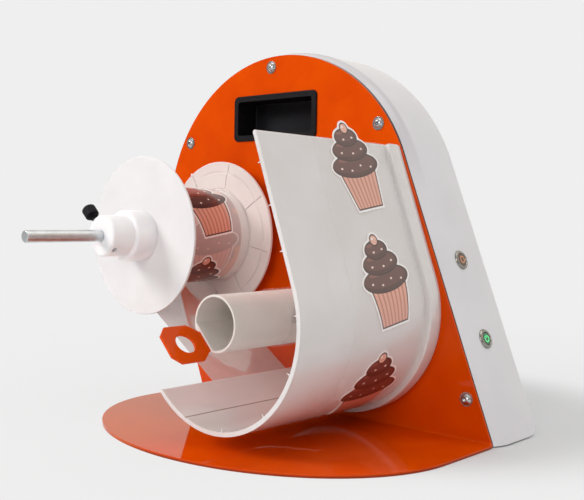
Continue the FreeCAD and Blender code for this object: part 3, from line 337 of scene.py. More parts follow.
# The cover's rear foot, rounded further than the solid's, and its rim lifted clear of the table
def softenCover(form):
    centre = Vector((0, cover["rear"] - cover["heel"], cover["heel"])) * mm
    for k in range(cover["cuts"]):
        turn = math.radians(90 * k / cover["cuts"])
        for reach, axis in ((math.sin(turn), 1), (-math.cos(turn), 2)):
            place, normal = centre.copy(), Vector((0, 0, 0))
            place[axis] += reach * cover["heel"] * mm
            normal[axis] = 1
            bmesh.ops.bisect_plane(form, geom=form.verts[:] + form.edges[:] + form.faces[:], plane_co=place,
                                   plane_no=normal, dist=0.01 * mm)
    form.normal_update()
    for vert in form.verts:
        out = vert.co - centre
        side = 1 if vert.co.x > cover["middle"] * mm else -1
        out.x = 0
        if out.y > 0 and out.z < 0:
            outward = vert.normal.dot(out.normalized() + Vector((side, 0, 0))) > 0
            limit = (cover["heel"] - (0 if outward else cover["wall"])) * mm
            if out.length > limit:
                vert.co += out.normalized() * (limit - out.length)
        vert.co.z = max(vert.co.z, cover["clear"] * mm)


disc = {"x": -151.1, "z": 185.4, "rim": 80.0, "trim": 1.9}  # centre, where the rim starts, in mm


# A disc whose rim is drawn in a little, to the size that the photo shows
def trimDisc(form):
    for vert in form.verts:
        out = vert.co - Vector((disc["x"] * mm, vert.co.y, disc["z"] * mm))
        if out.length > disc["rim"] * mm:
            vert.co -= out.normalized() * disc["trim"] * mm


# A merged copy of a CAD node with its edges eased, the easing in mm
def refinedCopy(nodeName, pieceName, material, edge, reshape):
    form = bmesh.new()
    form.from_mesh(nodes[nodeName].data)
    bmesh.ops.remove_doubles(form, verts=form.verts, dist=0.002 * mm)
    bmesh.ops.dissolve_limit(form, angle_limit=math.radians(0.3), verts=form.verts, edges=form.edges)
    if reshape:
        reshape(form)
    mesh = bpy.data.meshes.new(pieceName)
    form.to_mesh(mesh)
    form.free()
    if edge:
        draft = bpy.data.objects.new(pieceName + "Draft", mesh)
        bpy.context.scene.collection.objects.link(draft)
        bevel = draft.modifiers.new("easedEdges", "BEVEL")
        bevel.width = edge * mm
        bevel.segments = 2
        bevel.limit_method = "ANGLE"
        bevel.angle_limit = math.radians(35)
        bevel.use_clamp_overlap = True
        mesh = plainMesh(draft)
    piece = finishPiece(pieceName, mesh, material, bodyOf[nodeName], [nodeName], 50)
    settle = piece.modifiers.new("flatFaces", "WEIGHTED_NORMAL")  # large faces stay flat beside eased edges
    settle.keep_sharp = True
    settle.weight = 80


# Turns a closed (radius, along) profile in mm about an axis through a centre in metres
def latheMesh(name, profile, centre, axis, segments):
    axis = Vector(axis).normalized()
    side = axis.orthogonal().normalized()
    other = axis.cross(side)
    form = bmesh.new()
    rings = []
    for radius, along in profile:
        ring = []
        for k in range(segments):
            turn = 2 * math.pi * k / segments
            out = side * math.cos(turn) + other * math.sin(turn)
            ring.append(form.verts.new(centre + (axis * along + out * radius) * mm))
        rings.append(ring)
    for ringA, ringB in zip(rings, rings[1:] + rings[:1]):
        for k in range(segments):
            j = (k + 1) % segments
            form.faces.new((ringA[k], ringA[j], ringB[j], ringB[k]))
    bmesh.ops.remove_doubles(form, verts=form.verts, dist=0.0005 * mm)
    bmesh.ops.recalc_face_normals(form, faces=form.faces)
    mesh = bpy.data.meshes.new(name)
    form.to_mesh(mesh)
    form.free()
    return mesh


def joinMeshes(name, meshes):
    form = bmesh.new()
    for mesh in meshes:
        form.from_mesh(mesh)
    joined = bpy.data.meshes.new(name)
    form.to_mesh(joined)
    form.free()
    return joined


print("stage: carried-over parts")
carried = {  # CAD node: piece name, material, slot, eased edge in mm
    "front_panel": ("panelSheet", powderCoat, "orange_powder_coat", 0.35),
    "rear_housing": ("housingShell", glossAbs, "white_gloss_cover", 0.9),
    "handle_cup": ("handleCup", grainAbs, "black_plastic", 0.3),
    "web_guide": ("guideSheet", guideAbs, "white_satin_plastic", 0.5),
    "back_disc": ("rollDiscBack", grooveAbs, "white_satin_plastic", 0.25),
    "front_disc": ("rollDiscFront", satinAbs, "white_satin_plastic", 0.3),
    "front_hub": ("frontHub", milkyAcetal, "milky_plastic", 0.25),
    "takeup_tube": ("takeupTube", pipePvc, "white_satin_plastic", 0.4),
    "liner_key": ("linerKey", powderCoat, "orange_powder_coat", 0.4),
    "panel_screws": ("panelScrews", zincSteel, "plated_steel", 0.15),
    "spindle_rod": ("spindleRod", groundRod, "satin_rod", 0.0),
    "feed_button_cap": ("feedCap", amberCap, "stainless_steel", 0.4),
    "power_button_cap": ("powerCap", greenCap, "stainless_steel", 0.4),
}
reshaped = {"rear_housing": softenCover, "front_disc": trimDisc, "back_disc": trimDisc}
for nodeName, (pieceName, material, slotName, edge) in carried.items():
    refinedCopy(nodeName, pieceName, material, edge, reshaped.get(nodeName))

plainNodes = {
    "guide_screws": zincSteel, "web_lead": looseFilm, "web_wrap": clearFilm, "liner_strand": looseFilm,
    "spindle_block": grainAbs, "spindle_bearings": zincSteel, "block_screws": zincSteel,
    "takeup_bushing": sinteredBronze, "motor_plate": zincSteel, "motor_standoffs": zincSteel,
    "motor_screws": zincSteel, "gearmotor": zincSteel, "control_board": boardResin,
    "board_standoffs": grainAbs, "board_parts": grainAbs, "power_inlet": grainAbs, "button_nuts": zincSteel,
    "core_hub": satinAbs, "roll_core": kraftCard, "rod_collar": zincSteel, "drag_springs": zincSteel,
    "hub_grub_screw": zincSteel, "takeup_hub": satinAbs, "takeup_shaft": zincSteel,
    "shaft_coupler": zincSteel, "motor_shaft": zincSteel, "liner_wrap": clearFilm,
}
for nodeName, material in plainNodes.items():
    mesh = nodes[nodeName].data
    mesh.materials.clear()
    mesh.materials.append(material)

# The web's path, the same as the solids follow, in mm
guide = {"x": 32.3, "z": 117.9, "inner": 96.8, "wall": 4.0, "lean": 20.2, "flat": 134.7, "reach": 198.6}
spindle = {"x": -151.1, "z": 185.4, "roll": 52.0, "core": 41.05, "chamfer": 0.3, "leadLift": 0.3}
web = {"back": 23.0, "width": 106.0, "film": 0.4, "gap": 0.05, "label": 0.25}
web["front"] = web["back"] + web["width"]
web["middle"] = web["back"] + web["width"] / 2
tilt = math.radians(guide["lean"])
filmRadius = guide["inner"] + guide["wall"] + web["gap"]


# Angle of the side that the straight lead faces, between the roll and the guide
def leadAngle():
    gap = math.hypot(guide["x"] - spindle["x"], guide["z"] - spindle["z"])
    heading = math.atan2(guide["z"] - spindle["z"], guide["x"] - spindle["x"])
    return heading - math.acos((spindle["roll"] + spindle["leadLift"] - filmRadius) / gap)


leadSide = leadAngle()
arcLength = filmRadius * (tilt - leadSide)


# Point on the web: travel runs up the flat from its foot on the arc, lift outward from the film's back
def onWeb(travel, distance, lift):
    turn = max(leadSide, tilt + min(travel, 0) / filmRadius)
    radius = filmRadius + lift
    rise = max(travel, 0)
    past = max(0, -arcLength - travel)
    x = guide["x"] + radius * math.cos(turn) - rise * math.sin(tilt) + past * math.sin(leadSide)
    z = guide["z"] + radius * math.sin(turn) + rise * math.cos(tilt) - past * math.cos(leadSide)
    return ahead(x, distance, z)


# Point on the roll: travel runs round it, against the clock seen from the front
def onRoll(travel, distance, lift):
    turn = travel / spindle["roll"]
    radius = spindle["roll"] + lift
    return ahead(spindle["x"] + radius * math.cos(turn), distance, spindle["z"] + radius * math.sin(turn))


print("stage: labels")
cake = {  # a small cake in its paper cup, in halves of the label's size
    "half": 44.5, "tilt": 9.0, "centre": (0.0, -0.1),
    "cupLow": 0.47, "cupHigh": 0.68, "cupBottom": -1.0, "cupTop": -0.1,
    "ovals": [(0, 0.0, 0.84, 0.32), (0, 0.34, 0.66, 0.30), (0, 0.62, 0.44, 0.26), (0.04, 0.82, 0.19, 0.18)],
    "border": 0.05, "line": 0.03, "pleats": 9,
}


def inCake(x, y, grow):
    for cx, cy, a, b in cake["ovals"]:
        if ((x - cx) / (a + grow)) ** 2 + ((y - cy) / (b + grow)) ** 2 < 1:
            return True
    slope = (cake["cupHigh"] - cake["cupLow"]) / (cake["cupTop"] - cake["cupBottom"])
    half = cake["cupLow"] + slope * (y - cake["cupBottom"]) + grow
    return cake["cupBottom"] - grow < y < cake["cupTop"] and abs(x) < half


# Outline of the die-cut label, seen from its centre
def cakeOutline(count):
    cx, cy = cake["centre"]
    outline = []
    for k in range(count):
        turn = 2 * math.pi * k / count
        reach = max(r for r in (0.01 * n for n in range(140))
                    if inCake(cx + r * math.cos(turn), cy + r * math.sin(turn), 0))
        outline.append((cx + reach * math.cos(turn), cy + reach * math.sin(turn)))
    return outline


# Polypropylene label, digitally printed and laminated: flat inks under a clear gloss
def labelMaterial():
    material, tree, shader = newMaterial("printedLabel", Roughness=0.3, Coat_Weight=0.7, Coat_Roughness=0.05)
    place = addNode(tree, "ShaderNodeUVMap", {"uv_map": "labelPlace"}).outputs["UV"]
    parts = addNode(tree, "ShaderNodeSeparateXYZ", None, {"Vector": place})
    away = addNode(tree, "ShaderNodeMath", {"operation": "ABSOLUTE"}, {0: parts.outputs["X"]})
    slope = (cake["cupHigh"] - cake["cupLow"]) / (cake["cupTop"] - cake["cupBottom"])
    halfCup = addNode(tree, "ShaderNodeMath", {"operation": "MULTIPLY_ADD"}, {
        0: parts.outputs["Y"], 1: slope, 2: cake["cupLow"] - slope * cake["cupBottom"]})
    ink = {"white": "F6F1EE", "line": "3C1E1E", "cream": "643C37", "shade": "4E2C29", "light": "85554B",
           "cup": "E1A591", "fold": "C47F69", "berry": "E8B09C", "crumb": "F3D9CC"}
    icing = {"shift": (-0.03, 0.035), "shrink": (0.035, 0.045), "lightPlace": (-0.4, 0.42),
             "lightSize": (0.24, 0.13), "glint": (-0.035, 0.035, 0.03, 0.025), "crumb": (0.035, 0.022),
             "foldEdge": 0.35}  # in halves of the label, or in shares of the oval for the light

    def inOval(cx, cy, a, b):
        scaled = addNode(tree, "ShaderNodeMapping", {"vector_type": "TEXTURE"}, {
            "Vector": place, "Location": (cx, cy, 0), "Scale": (a, b, 1)})
        reach = addNode(tree, "ShaderNodeVectorMath", {"operation": "LENGTH"}, {0: scaled.outputs["Vector"]})
        inside = addNode(tree, "ShaderNodeMath", {"operation": "LESS_THAN"}, {0: reach.outputs["Value"], 1: 1.0})
        return inside.outputs["Value"]

    def inCup(grow):
        low, high = cake["cupBottom"] - grow, cake["cupTop"]
        wall = addNode(tree, "ShaderNodeMath", {"operation": "ADD"}, {0: halfCup.outputs["Value"], 1: grow})
        side = addNode(tree, "ShaderNodeMath", {"operation": "LESS_THAN"}, {
            0: away.outputs["Value"], 1: wall.outputs["Value"]})
        level = addNode(tree, "ShaderNodeMath", {"operation": "COMPARE"}, {
            0: parts.outputs["Y"], 1: (low + high) / 2, 2: (high - low) / 2})
        both = addNode(tree, "ShaderNodeMath", {"operation": "MULTIPLY"}, {
            0: side.outputs["Value"], 1: level.outputs["Value"]})
        return both.outputs["Value"]

    edge, line = -cake["border"], -cake["border"] - cake["line"]
    across = addNode(tree, "ShaderNodeMath", {"operation": "DIVIDE"}, {
        0: parts.outputs["X"], 1: halfCup.outputs["Value"]})
    turned = addNode(tree, "ShaderNodeMath", {"operation": "MULTIPLY"}, {
        0: across.outputs["Value"], 1: math.pi * cake["pleats"]})
    wave = addNode(tree, "ShaderNodeMath", {"operation": "COSINE"}, {0: turned.outputs["Value"]})
    crest = addNode(tree, "ShaderNodeMath", {"operation": "GREATER_THAN"}, {
        0: wave.outputs["Value"], 1: icing["foldEdge"]})
    fold = addNode(tree, "ShaderNodeMath", {"operation": "MULTIPLY"}, {
        0: inCup(line), 1: crest.outputs["Value"]})
    layers = [(inCup(edge), "line"), (inCup(line), "cup"), (fold.outputs["Value"], "fold")]
    (shiftX, shiftY), (lessX, lessY) = icing["shift"], icing["shrink"]
    (lightX, lightY), (lightWide, lightHigh) = icing["lightPlace"], icing["lightSize"]
    for cx, cy, a, b in cake["ovals"][:3]:
        layers += [(inOval(cx, cy, a + edge, b + edge), "line"),
                   (inOval(cx, cy, a + line, b + line), "shade"),
                   (inOval(cx + shiftX, cy + shiftY, a + line - lessX, b + line - lessY), "cream"),
                   (inOval(cx + lightX * a, cy + lightY * b, lightWide * a, lightHigh * b), "light")]
    cx, cy, a, b = cake["ovals"][3]
    glintX, glintY, glintWide, glintHigh = icing["glint"]
    layers += [(inOval(cx, cy, a + edge, b + edge), "line"), (inOval(cx, cy, a + line, b + line), "berry"),
               (inOval(cx + glintX, cy + glintY, glintWide, glintHigh), "white")]
    crumbs = [(-0.5, -0.03), (-0.18, -0.1), (0.16, -0.02), (0.5, -0.08), (-0.32, 0.3), (0.06, 0.26),
              (0.38, 0.33), (-0.1, 0.58), (0.2, 0.6)]
    layers += [(inOval(cx, cy, *icing["crumb"]), "crumb") for cx, cy in crumbs]
    colour = hexToLinear(ink["white"])
    for mask, tone in layers:
        colour = addNode(tree, "ShaderNodeMix", rgba, {
            "Factor": mask, colourA: colour, colourB: hexToLinear(ink[tone])}).outputs[colourOut]
    tree.links.new(colour, shader.inputs["Base Color"])
    return material


printedLabel = labelMaterial()
# The label's adhesive side: white film with a faint warm cast, and a painted glow (emission) that stands in for
# the light it gets in the shade where it lies
labelBack, tree, shader = newMaterial("labelAdhesiveSide", Roughness=0.4, Emission_Strength=0.3)
shader.inputs["Emission Color"].default_value = hexToLinear("F0DDD7")
place, _ = variedColour(tree, shader, "F0DDD7", "EAD3CC", 12)
roughBump(tree, shader, place, 1.5, 0.01)


# The same print seen through several turns of film: pale, and lower in contrast
def hiddenPrint():
    material = printedLabel.copy()
    material.name = "hiddenPrint"
    tree = material.node_tree
    shader = tree.nodes["Principled BSDF"]
    painted = shader.inputs["Base Color"].links[0].from_socket
    veil = addNode(tree, "ShaderNodeMix", rgba, {
        "Factor": 0.7, colourA: painted, colourB: hexToLinear("D6C4C0")})
    tree.links.new(veil.outputs[colourOut], shader.inputs["Base Color"])
    return material


woundPrint = hiddenPrint()


# One die-cut label, laid on a surface about a travel, lift above the film's back
def labelPiece(name, body, surface, travel, lift, replaced=(), material=None):
    count, rings = labelRun["around"], labelRun["rings"]
    outline = cakeOutline(count)
    cx, cy = cake["centre"]
    cosTilt, sinTilt = math.cos(math.radians(cake["tilt"])), math.sin(math.radians(cake["tilt"]))
    form = bmesh.new()
    layer = form.loops.layers.uv.new("labelPlace")
    spots = [(cx, cy)]
    for ring in range(1, rings + 1):
        share = ring / rings
        spots += [(cx + (x - cx) * share, cy + (y - cy) * share) for x, y in outline]
    sheets = []
    for top in (True, False):
        thick = web["label"] if material is None else labelRun["hiddenThick"]
        height = lift + (thick if top else 0)
        verts = []
        for x, y in spots:
            away = (x * cosTilt - y * sinTilt) * cake["half"]
            rise = (x * sinTilt + y * cosTilt) * cake["half"]
            verts.append(form.verts.new(surface(travel + rise, web["middle"] - away, height)))
        sheets.append(verts)

    def face(corners, places):
        made = form.faces.new(corners)
        for loop, spot in zip(made.loops, places):
            loop[layer].uv = spot

    def at(ring, k):
        return 0 if ring == 0 else 1 + (ring - 1) * count + k % count

    for top, verts in zip((True, False), sheets):
        for ring in range(rings):
            for k in range(count):
                ids = [at(ring, k), at(ring + 1, k), at(ring + 1, k + 1), at(ring, k + 1)]
                if ring == 0:
                    ids = ids[:3]
                if not top:
                    ids.reverse()
                face([verts[i] for i in ids], [spots[i] for i in ids])
    for k in range(count):
        a, b = at(rings, k), at(rings, k + 1)
        face([sheets[0][a], sheets[1][a], sheets[1][b], sheets[0][b]],
             [spots[a], spots[a], spots[b], spots[b]])
    bmesh.ops.recalc_face_normals(form, faces=form.faces)
    mesh = bpy.data.meshes.new(name)
    form.to_mesh(mesh)
    form.free()
    finishPiece(name, mesh, material or printedLabel, body, replaced, 50)
    mesh.materials.append(labelBack)
    for under in mesh.polygons[rings * count:2 * rings * count]:
        under.material_index = 1


labelRun = {"first": 111.0, "pitch": 108.8, "count": 5,  # travels on the web in mm
            "onRoll": [49.0, -71.0, 169.0], "rollLift": 0.05,  # places in degrees, lifts in mm
            "hidden": [-8.0, 112.0, -128.0], "hiddenLift": 0.01, "hiddenThick": 0.02,
            "around": 144, "rings": 12}
liftOnWeb = web["film"] + web["gap"]
for k in range(labelRun["count"]):
    labelPiece("label%d" % (k + 1), "root", onWeb, labelRun["first"] - k * labelRun["pitch"], liftOnWeb,
               ["web_labels"] if k == 0 else ())
for k, angle in enumerate(labelRun["onRoll"]):
    labelPiece("rollLabel%d" % (k + 1), "supply", onRoll, math.radians(angle) * spindle["roll"],
               labelRun["rollLift"])
for k, angle in enumerate(labelRun["hidden"]):
    labelPiece("hiddenLabel%d" % (k + 1), "supply", onRoll, math.radians(angle) * spindle["roll"],
               labelRun["hiddenLift"], material=woundPrint)

print("stage: roll")
rollCentre = ahead(spindle["x"], 0, spindle["z"])
frontward = (0, -1, 0)
chamfer = spindle["chamfer"]
rollProfile = [(spindle["core"], web["back"]), (spindle["roll"] - chamfer, web["back"]),
               (spindle["roll"], web["back"] + chamfer), (spindle["roll"], web["front"] - chamfer),
               (spindle["roll"] - chamfer, web["front"]), (spindle["core"], web["front"])]
finishPiece("labelRoll", latheMesh("labelRoll", rollProfile, rollCentre, frontward, 128), woundFilm, "supply",
            ["label_roll"])

print("stage: thumb screw")
thumb = {"angle": 138.0, "place": 178.3, "shank": 3.0, "stand": 29.0, "head": 7.0, "length": 12.0,
         "ridges": 22, "ridgeSize": 0.55, "ridgeShort": 2.4, "foot": 6.3, "neckLong": 2.0, "neck": 0.62,
         "inset": 0.3, "chamfer": 1.0, "dimple": (2.2, 1.6, 0.5)}
thumbAxis = Vector((math.cos(math.radians(thumb["angle"])), 0, math.sin(math.radians(thumb["angle"]))))
thumbCentre = ahead(spindle["x"], thumb["place"], spindle["z"])
start, top = thumb["stand"], thumb["stand"] + thumb["length"]
neck, grip, chamfer = thumb["neck"] * thumb["head"], thumb["head"] - thumb["inset"], thumb["chamfer"]
wide, narrow, deep = thumb["dimple"]
foot, collar = thumb["foot"], start - thumb["neckLong"]
thumbProfile = [(0, foot), (thumb["shank"], foot), (thumb["shank"], collar), (neck, collar), (neck, start),
                (grip - chamfer, start),
                (grip, start + chamfer), (grip, top - chamfer), (grip - chamfer, top),
                (wide, top), (narrow, top - deep), (0, top - deep)]


# Geometry nodes for ridges set round a knob, along its axis
def ridgeTree(material):
    tree = bpy.data.node_groups.new("knobRidges", "GeometryNodeTree")
    tree.interface.new_socket("Geometry", in_out="OUTPUT", socket_type="NodeSocketGeometry")
    for name, kind in (("Ridge Count", "NodeSocketInt"), ("Radius", "NodeSocketFloat"),
                       ("Length", "NodeSocketFloat"), ("Ridge Size", "NodeSocketFloat")):
        tree.interface.new_socket(name, in_out="INPUT", socket_type=kind)
    given = addNode(tree, "NodeGroupInput")
    circle = addNode(tree, "GeometryNodeMeshCircle", None, {
        "Vertices": given.outputs["Ridge Count"], "Radius": given.outputs["Radius"]})
    ridge = addNode(tree, "GeometryNodeMeshCylinder", None, {
        "Vertices": 8, "Radius": given.outputs["Ridge Size"], "Depth": given.outputs["Length"]})
    spread = addNode(tree, "GeometryNodeInstanceOnPoints", None, {
        "Points": circle.outputs["Mesh"], "Instance": ridge.outputs["Mesh"]})
    real = addNode(tree, "GeometryNodeRealizeInstances", None, {"Geometry": spread.outputs["Instances"]})
    painted = addNode(tree, "GeometryNodeSetMaterial", None, {
        "Geometry": real.outputs["Geometry"], "Material": material})
    addNode(tree, "NodeGroupOutput", None, {"Geometry": painted.outputs["Geometry"]})
    return tree


def fromTree(name, tree, values):
    draft = bpy.data.objects.new(name + "Draft", bpy.data.meshes.new(name + "Draft"))
    bpy.context.scene.collection.objects.link(draft)
    modifier = draft.modifiers.new(name, "NODES")
    modifier.node_group = tree
    sockets = {item.name: item.identifier for item in tree.interface.items_tree if item.in_out == "INPUT"}
    for label, value in values.items():
        modifier[sockets[label]] = value
    return plainMesh(draft)


ridges = fromTree("knobRidges", ridgeTree(grainAbs), {
    "Ridge Count": thumb["ridges"], "Radius": grip * mm,
    "Length": (thumb["length"] - thumb["ridgeShort"]) * mm, "Ridge Size": thumb["ridgeSize"] * mm})
middle = thumbCentre + thumbAxis * (thumb["stand"] + thumb["length"] / 2) * mm
ridges.transform(Matrix.Translation(middle) @ thumbAxis.to_track_quat("Z", "Y").to_matrix().to_4x4())
thumbBody = latheMesh("thumbBody", thumbProfile, thumbCentre, thumbAxis, 64)
finishPiece("thumbScrew", joinMeshes("thumbScrew", [thumbBody, ridges]), grainAbs, "thumb",
            ["thumb_screw"])

print("stage: button lights")
buttons = {"lean": 21.5, "flare": 4.5, "footHalf": 195.5, "rises": (181.7, 101.2), "behind": 37.9,
           "top": 1.95, "radius": 3.2, "line": 0.9, "mouth": 35.0, "sunk": 0.4, "proud": 0.15, "bar": 0.6,
           "bezel": [(6.5, -3.0), (6.5, 1.6), (6.9, 2.1), (7.5, 2.2), (8.3, 2.0), (9.0, 1.6), (9.5, 1.0),
                     (9.8, 0.3), (9.8, 0.0), (8.0, 0.0), (8.0, -3.0)]}  # radius and height, in mm
slope = math.radians(buttons["lean"])
buttonNormal = Vector((math.cos(slope), 0, math.sin(slope)))
buttonUp = Vector((-math.sin(slope), 0, math.cos(slope)))
buttonSide = Vector((0, 1, 0))


# A flat bar with rounded ends along points given in the button's own plane
def barMesh(name, centre, points, half, low, high):
    form = bmesh.new()
    rows = []
    for (x, y), (dx, dy) in points:
        row = []
        for side, level in ((-half, low), (-half, high), (half, high), (half, low)):
            across = buttonSide * (x - dy * side) + buttonUp * (y + dx * side)
            row.append(form.verts.new(centre + (across + buttonNormal * level) * mm))
        rows.append(row)
    for rowA, rowB in zip(rows, rows[1:]):
        for k in range(4):
            form.faces.new((rowA[k], rowA[(k + 1) % 4], rowB[(k + 1) % 4], rowB[k]))
    form.faces.new(rows[0])
    form.faces.new(rows[-1][::-1])
    bmesh.ops.recalc_face_normals(form, faces=form.faces)
    mesh = bpy.data.meshes.new(name)
    form.to_mesh(mesh)
    form.free()
    return mesh


# Points and directions round a ring that is open at the top by a half angle in degrees
def ringPoints(radius, mouth, count):
    points = []
    for k in range(count + 1):
        turn = math.radians(90 + mouth + (360 - 2 * mouth) * k / count)
        points.append(((radius * math.cos(turn), radius * math.sin(turn)), (-math.sin(turn), math.cos(turn))))
    return points


for name, rise, lens, body in (("feed", buttons["rises"][0], amberMark, "feed_button"),
                               ("power", buttons["rises"][1], greenMark, "power_button")):
    x = buttons["footHalf"] + buttons["flare"] / math.cos(slope) - rise * math.sin(slope)
    centre = ahead(x, -buttons["behind"], rise * math.cos(slope))
    low, high, half = buttons["top"] - buttons["sunk"], buttons["top"] + buttons["proud"], buttons["line"] / 2
    mouth = buttons["mouth"] if name == "power" else 0.0
    marks = [barMesh(name, centre, ringPoints(buttons["radius"], mouth, 40), half, low, high)]
    if name == "power":
        ends = (buttons["bar"], buttons["radius"] + buttons["bar"])
        marks.append(barMesh(name, centre, [((0, end), (0, 1)) for end in ends], half, low, high))
    bezelMesh = latheMesh(name + "Bezel", buttons["bezel"], centre, buttonNormal, 72)
    finishPiece(name + "Bezel", bezelMesh, turnedSteel, "root", [name + "_button_body"], 60)
    finishPiece(name + "Mark", joinMeshes(name + "Mark", marks), lens, body, (), 40)

print("stage: guide nubs")
nubs = {"travels": (109.5, 72.0, 32.5, -22.5, -74.0, -124.5, -181.0), "ahead": 197.8,
        "radius": 0.75, "long": 3.4, "buried": 0.6, "shoulder": 0.4, "blunt": 0.3, "taper": 0.45, "tip": 0.7}


# A small blunt tooth on the guide's inner face, beside its front edge
def nubMesh(travel):
    turn = tilt + min(travel, 0) / filmRadius
    rise = max(travel, 0)
    place = ahead(guide["x"] + guide["inner"] * math.cos(turn) - rise * math.sin(tilt), nubs["ahead"],
                  guide["z"] + guide["inner"] * math.sin(turn) + rise * math.cos(tilt))
    outward = Vector((-math.cos(turn), 0, -math.sin(turn)))
    small = nubs["radius"] * nubs["taper"]
    profile = [(0, -nubs["buried"]), (nubs["radius"], -nubs["buried"]), (nubs["radius"], nubs["shoulder"]),
               (small, nubs["long"] - nubs["blunt"]), (small * nubs["tip"], nubs["long"]), (0, nubs["long"])]
    return latheMesh("nub", profile, place, outward, 20)


discNub = {"angle": 124.5, "radius": 84.1, "ahead": 20.0, "size": 1.3, "half": 1.2, "shoulder": 0.6, "tip": 0.7}
turn = math.radians(discNub["angle"])
place = ahead(spindle["x"] + discNub["radius"] * math.cos(turn), discNub["ahead"],
              spindle["z"] + discNub["radius"] * math.sin(turn))
profile = [(0, -discNub["half"]), (discNub["size"], -discNub["half"]), (discNub["size"], discNub["shoulder"]),
           (discNub["tip"], discNub["half"]), (0, discNub["half"])]
nub = latheMesh("discNub", profile, place, (math.cos(turn), 0, math.sin(turn)), 20)
finishPiece("discNub", nub, satinAbs, "supply", (), 50)
finishPiece("guideNubs", joinMeshes("guideNubs", [nubMesh(travel) for travel in nubs["travels"]]), guideAbs,
            "root", (), 50)

print("stage: studio")
studio = {"floorHalf": 6.0, "tone": "EFEFEF", "mirrored": "F1ECE3", "paper": "E0E0E0",  # metres and shares
          "shadeAround": (0.06, 0.10, 0.0), "near": (0.15, 0.31, 0.85), "far": (0.35, 1.0, 0.15),
          "sweep": (-0.5, 0.35), "rise": 0.7, "front": 0.16, "rear": 0.66, "mirrorFront": 0.15}
floorMaterial, tree, shader = newMaterial("studioPaper", Roughness=0.9)
shader.inputs["Base Color"].default_value = hexToLinear(studio["paper"])
shader.inputs["Specular IOR Level"].default_value = 0.1
place = addNode(tree, "ShaderNodeTexCoord")
shift = addNode(tree, "ShaderNodeVectorMath", {"operation": "SUBTRACT"}, {
    0: place.outputs["Object"], 1: studio["shadeAround"]})
reach = addNode(tree, "ShaderNodeVectorMath", {"operation": "LENGTH"}, {0: shift.outputs["Vector"]})
near, far = [addNode(tree, "ShaderNodeMapRange", soft, {
    "Value": reach.outputs["Value"], "From Min": start, "From Max": end, "To Max": most})
    for start, end, most in (studio["near"], studio["far"])]
fade = addNode(tree, "ShaderNodeMath", {"operation": "ADD"}, {
    0: near.outputs["Result"], 1: far.outputs["Result"]})
glow = addNode(tree, "ShaderNodeEmission", None, {"Color": hexToLinear(studio["tone"]), "Strength": 1.0})
blend = addNode(tree, "ShaderNodeMixShader", None, {
    0: fade.outputs["Value"], 1: shader.outputs["BSDF"], 2: glow.outputs["Emission"]})
ray = addNode(tree, "ShaderNodeLightPath")
seen = addNode(tree, "ShaderNodeMath", {"operation": "MAXIMUM"}, {
    0: ray.outputs["Is Camera Ray"], 1: ray.outputs["Is Glossy Ray"]})
seen = addNode(tree, "ShaderNodeMath", {"operation": "MAXIMUM"}, {
    0: seen.outputs["Value"], 1: ray.outputs["Is Transmission Ray"]})
choice = addNode(tree, "ShaderNodeMixShader", None, {
    0: seen.outputs["Value"], 1: shader.outputs["BSDF"], 2: blend.outputs["Shader"]})
tree.links.new(choice.outputs["Shader"], tree.nodes["Material Output"].inputs["Surface"])
half = studio["floorHalf"]
floorMesh = bpy.data.meshes.new("studioFloor")
floorCorners = [(-half, -half, 0), (half, -half, 0), (half, half, 0), (-half, half, 0)]
floorMesh.from_pydata(floorCorners, [], [(0, 1, 2, 3)])
floorMesh.materials.append(floorMaterial)
studioFloor = bpy.data.objects.new("studioFloor", floorMesh)
bpy.context.scene.collection.objects.link(studioFloor)
studioFloor.location.z = -0.0002

world = bpy.data.worlds.new("studioWorld")
bpy.context.scene.world = world
world.use_nodes = True
tree = world.node_tree
background = tree.nodes["Background"]
background.inputs["Color"].default_value = (1, 0.99, 0.985, 1)
heading = addNode(tree, "ShaderNodeTexCoord")  # a pale sweep behind and above, a dim room in front
parts = addNode(tree, "ShaderNodeSeparateXYZ", None, {"Vector": heading.outputs["Generated"]})
toward = addNode(tree, "ShaderNodeMath", {"operation": "MULTIPLY_ADD"}, {
    0: parts.outputs["Z"], 1: studio["rise"], 2: parts.outputs["Y"]})
sweep, gloss = [addNode(tree, "ShaderNodeMapRange", soft, {
    "Value": toward.outputs["Value"], "From Min": studio["sweep"][0], "From Max": studio["sweep"][1],
    "To Min": low, "To Max": high})
    for low, high in ((studio["front"], studio["rear"]), (studio["mirrorFront"], 1.0))]
tree.links.new(sweep.outputs["Result"], background.inputs["Strength"])
mirrored = addNode(tree, "ShaderNodeBackground", None, {
    "Color": hexToLinear(studio["mirrored"]), "Strength": gloss.outputs["Result"]})
shown = addNode(tree, "ShaderNodeBackground", None, {"Color": hexToLinear(studio["tone"]), "Strength": 1.0})
ray = addNode(tree, "ShaderNodeLightPath")
lit = addNode(tree, "ShaderNodeMixShader", None, {
    0: ray.outputs["Is Glossy Ray"], 1: background.outputs["Background"], 2: mirrored.outputs["Background"]})
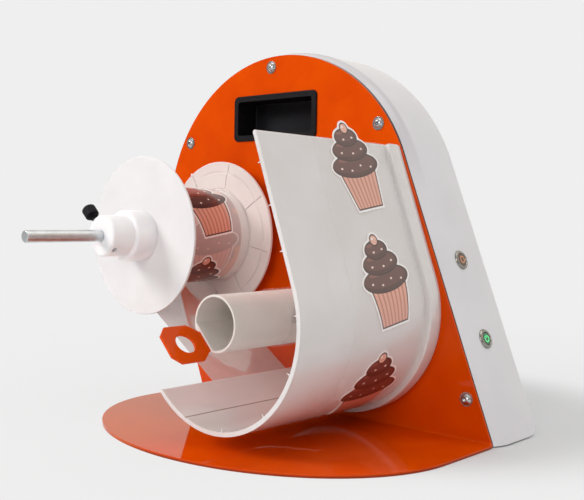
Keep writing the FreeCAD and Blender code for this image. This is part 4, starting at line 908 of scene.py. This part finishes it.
seen = addNode(tree, "ShaderNodeMath", {"operation": "MAXIMUM"}, {
    0: ray.outputs["Is Camera Ray"], 1: ray.outputs["Is Transmission Ray"]})
choice = addNode(tree, "ShaderNodeMixShader", None, {
    0: seen.outputs["Value"], 1: lit.outputs["Shader"], 2: shown.outputs["Background"]})
tree.links.new(choice.outputs["Shader"], tree.nodes["World Output"].inputs["Surface"])

lamps = {  # place and aim in metres, size in metres, power in watts
    "keyLamp": ((-2.15, -2.85, 2.3), (0.0, -0.05, 0.18), 1.7, 92),
    "fillLamp": ((1.4, -3.4, 1.35), (0.0, -0.05, 0.18), 2.2, 38),
    "topLamp": ((0.9, 0.6, 3.6), (0.0, -0.05, 0.1), 2.8, 25),
}
for name, (position, aim, size, power) in lamps.items():
    lamp = bpy.data.lights.new(name, "AREA")
    lamp.shape = "DISK"
    lamp.size = size
    lamp.energy = power
    holder = bpy.data.objects.new(name, lamp)
    bpy.context.scene.collection.objects.link(holder)
    holder.location = position
    holder.rotation_mode = "QUATERNION"
    holder.rotation_quaternion = (Vector(aim) - Vector(position)).to_track_quat("-Z", "Y")

view = {"place": (602.7, -726.8, 212.9), "azimuth": 41.95, "pitch": 2.4, "roll": 1.1, "focalPixels": 901.5,
        "imageWidth": 584}
azimuth, pitch, roll = (math.radians(view[key]) for key in ("azimuth", "pitch", "roll"))
forward = Vector((-math.sin(azimuth) * math.cos(pitch), math.cos(azimuth) * math.cos(pitch),
                  -math.sin(pitch)))
level = Vector((math.cos(azimuth), math.sin(azimuth), 0))
upward = level.cross(forward)
right = level * math.cos(roll) + upward * math.sin(roll)
above = upward * math.cos(roll) - level * math.sin(roll)
lens = bpy.data.cameras.new("photoCamera")
lens.sensor_width = 36.0
lens.lens = view["focalPixels"] / view["imageWidth"] * lens.sensor_width
camera = bpy.data.objects.new("photoCamera", lens)
bpy.context.scene.collection.objects.link(camera)
camera.matrix_world = Matrix((right, above, -forward)).transposed().to_4x4()
camera.location = Vector(view["place"]) * mm
bpy.context.scene.camera = camera
bpy.context.scene.view_settings.view_transform = "Standard"
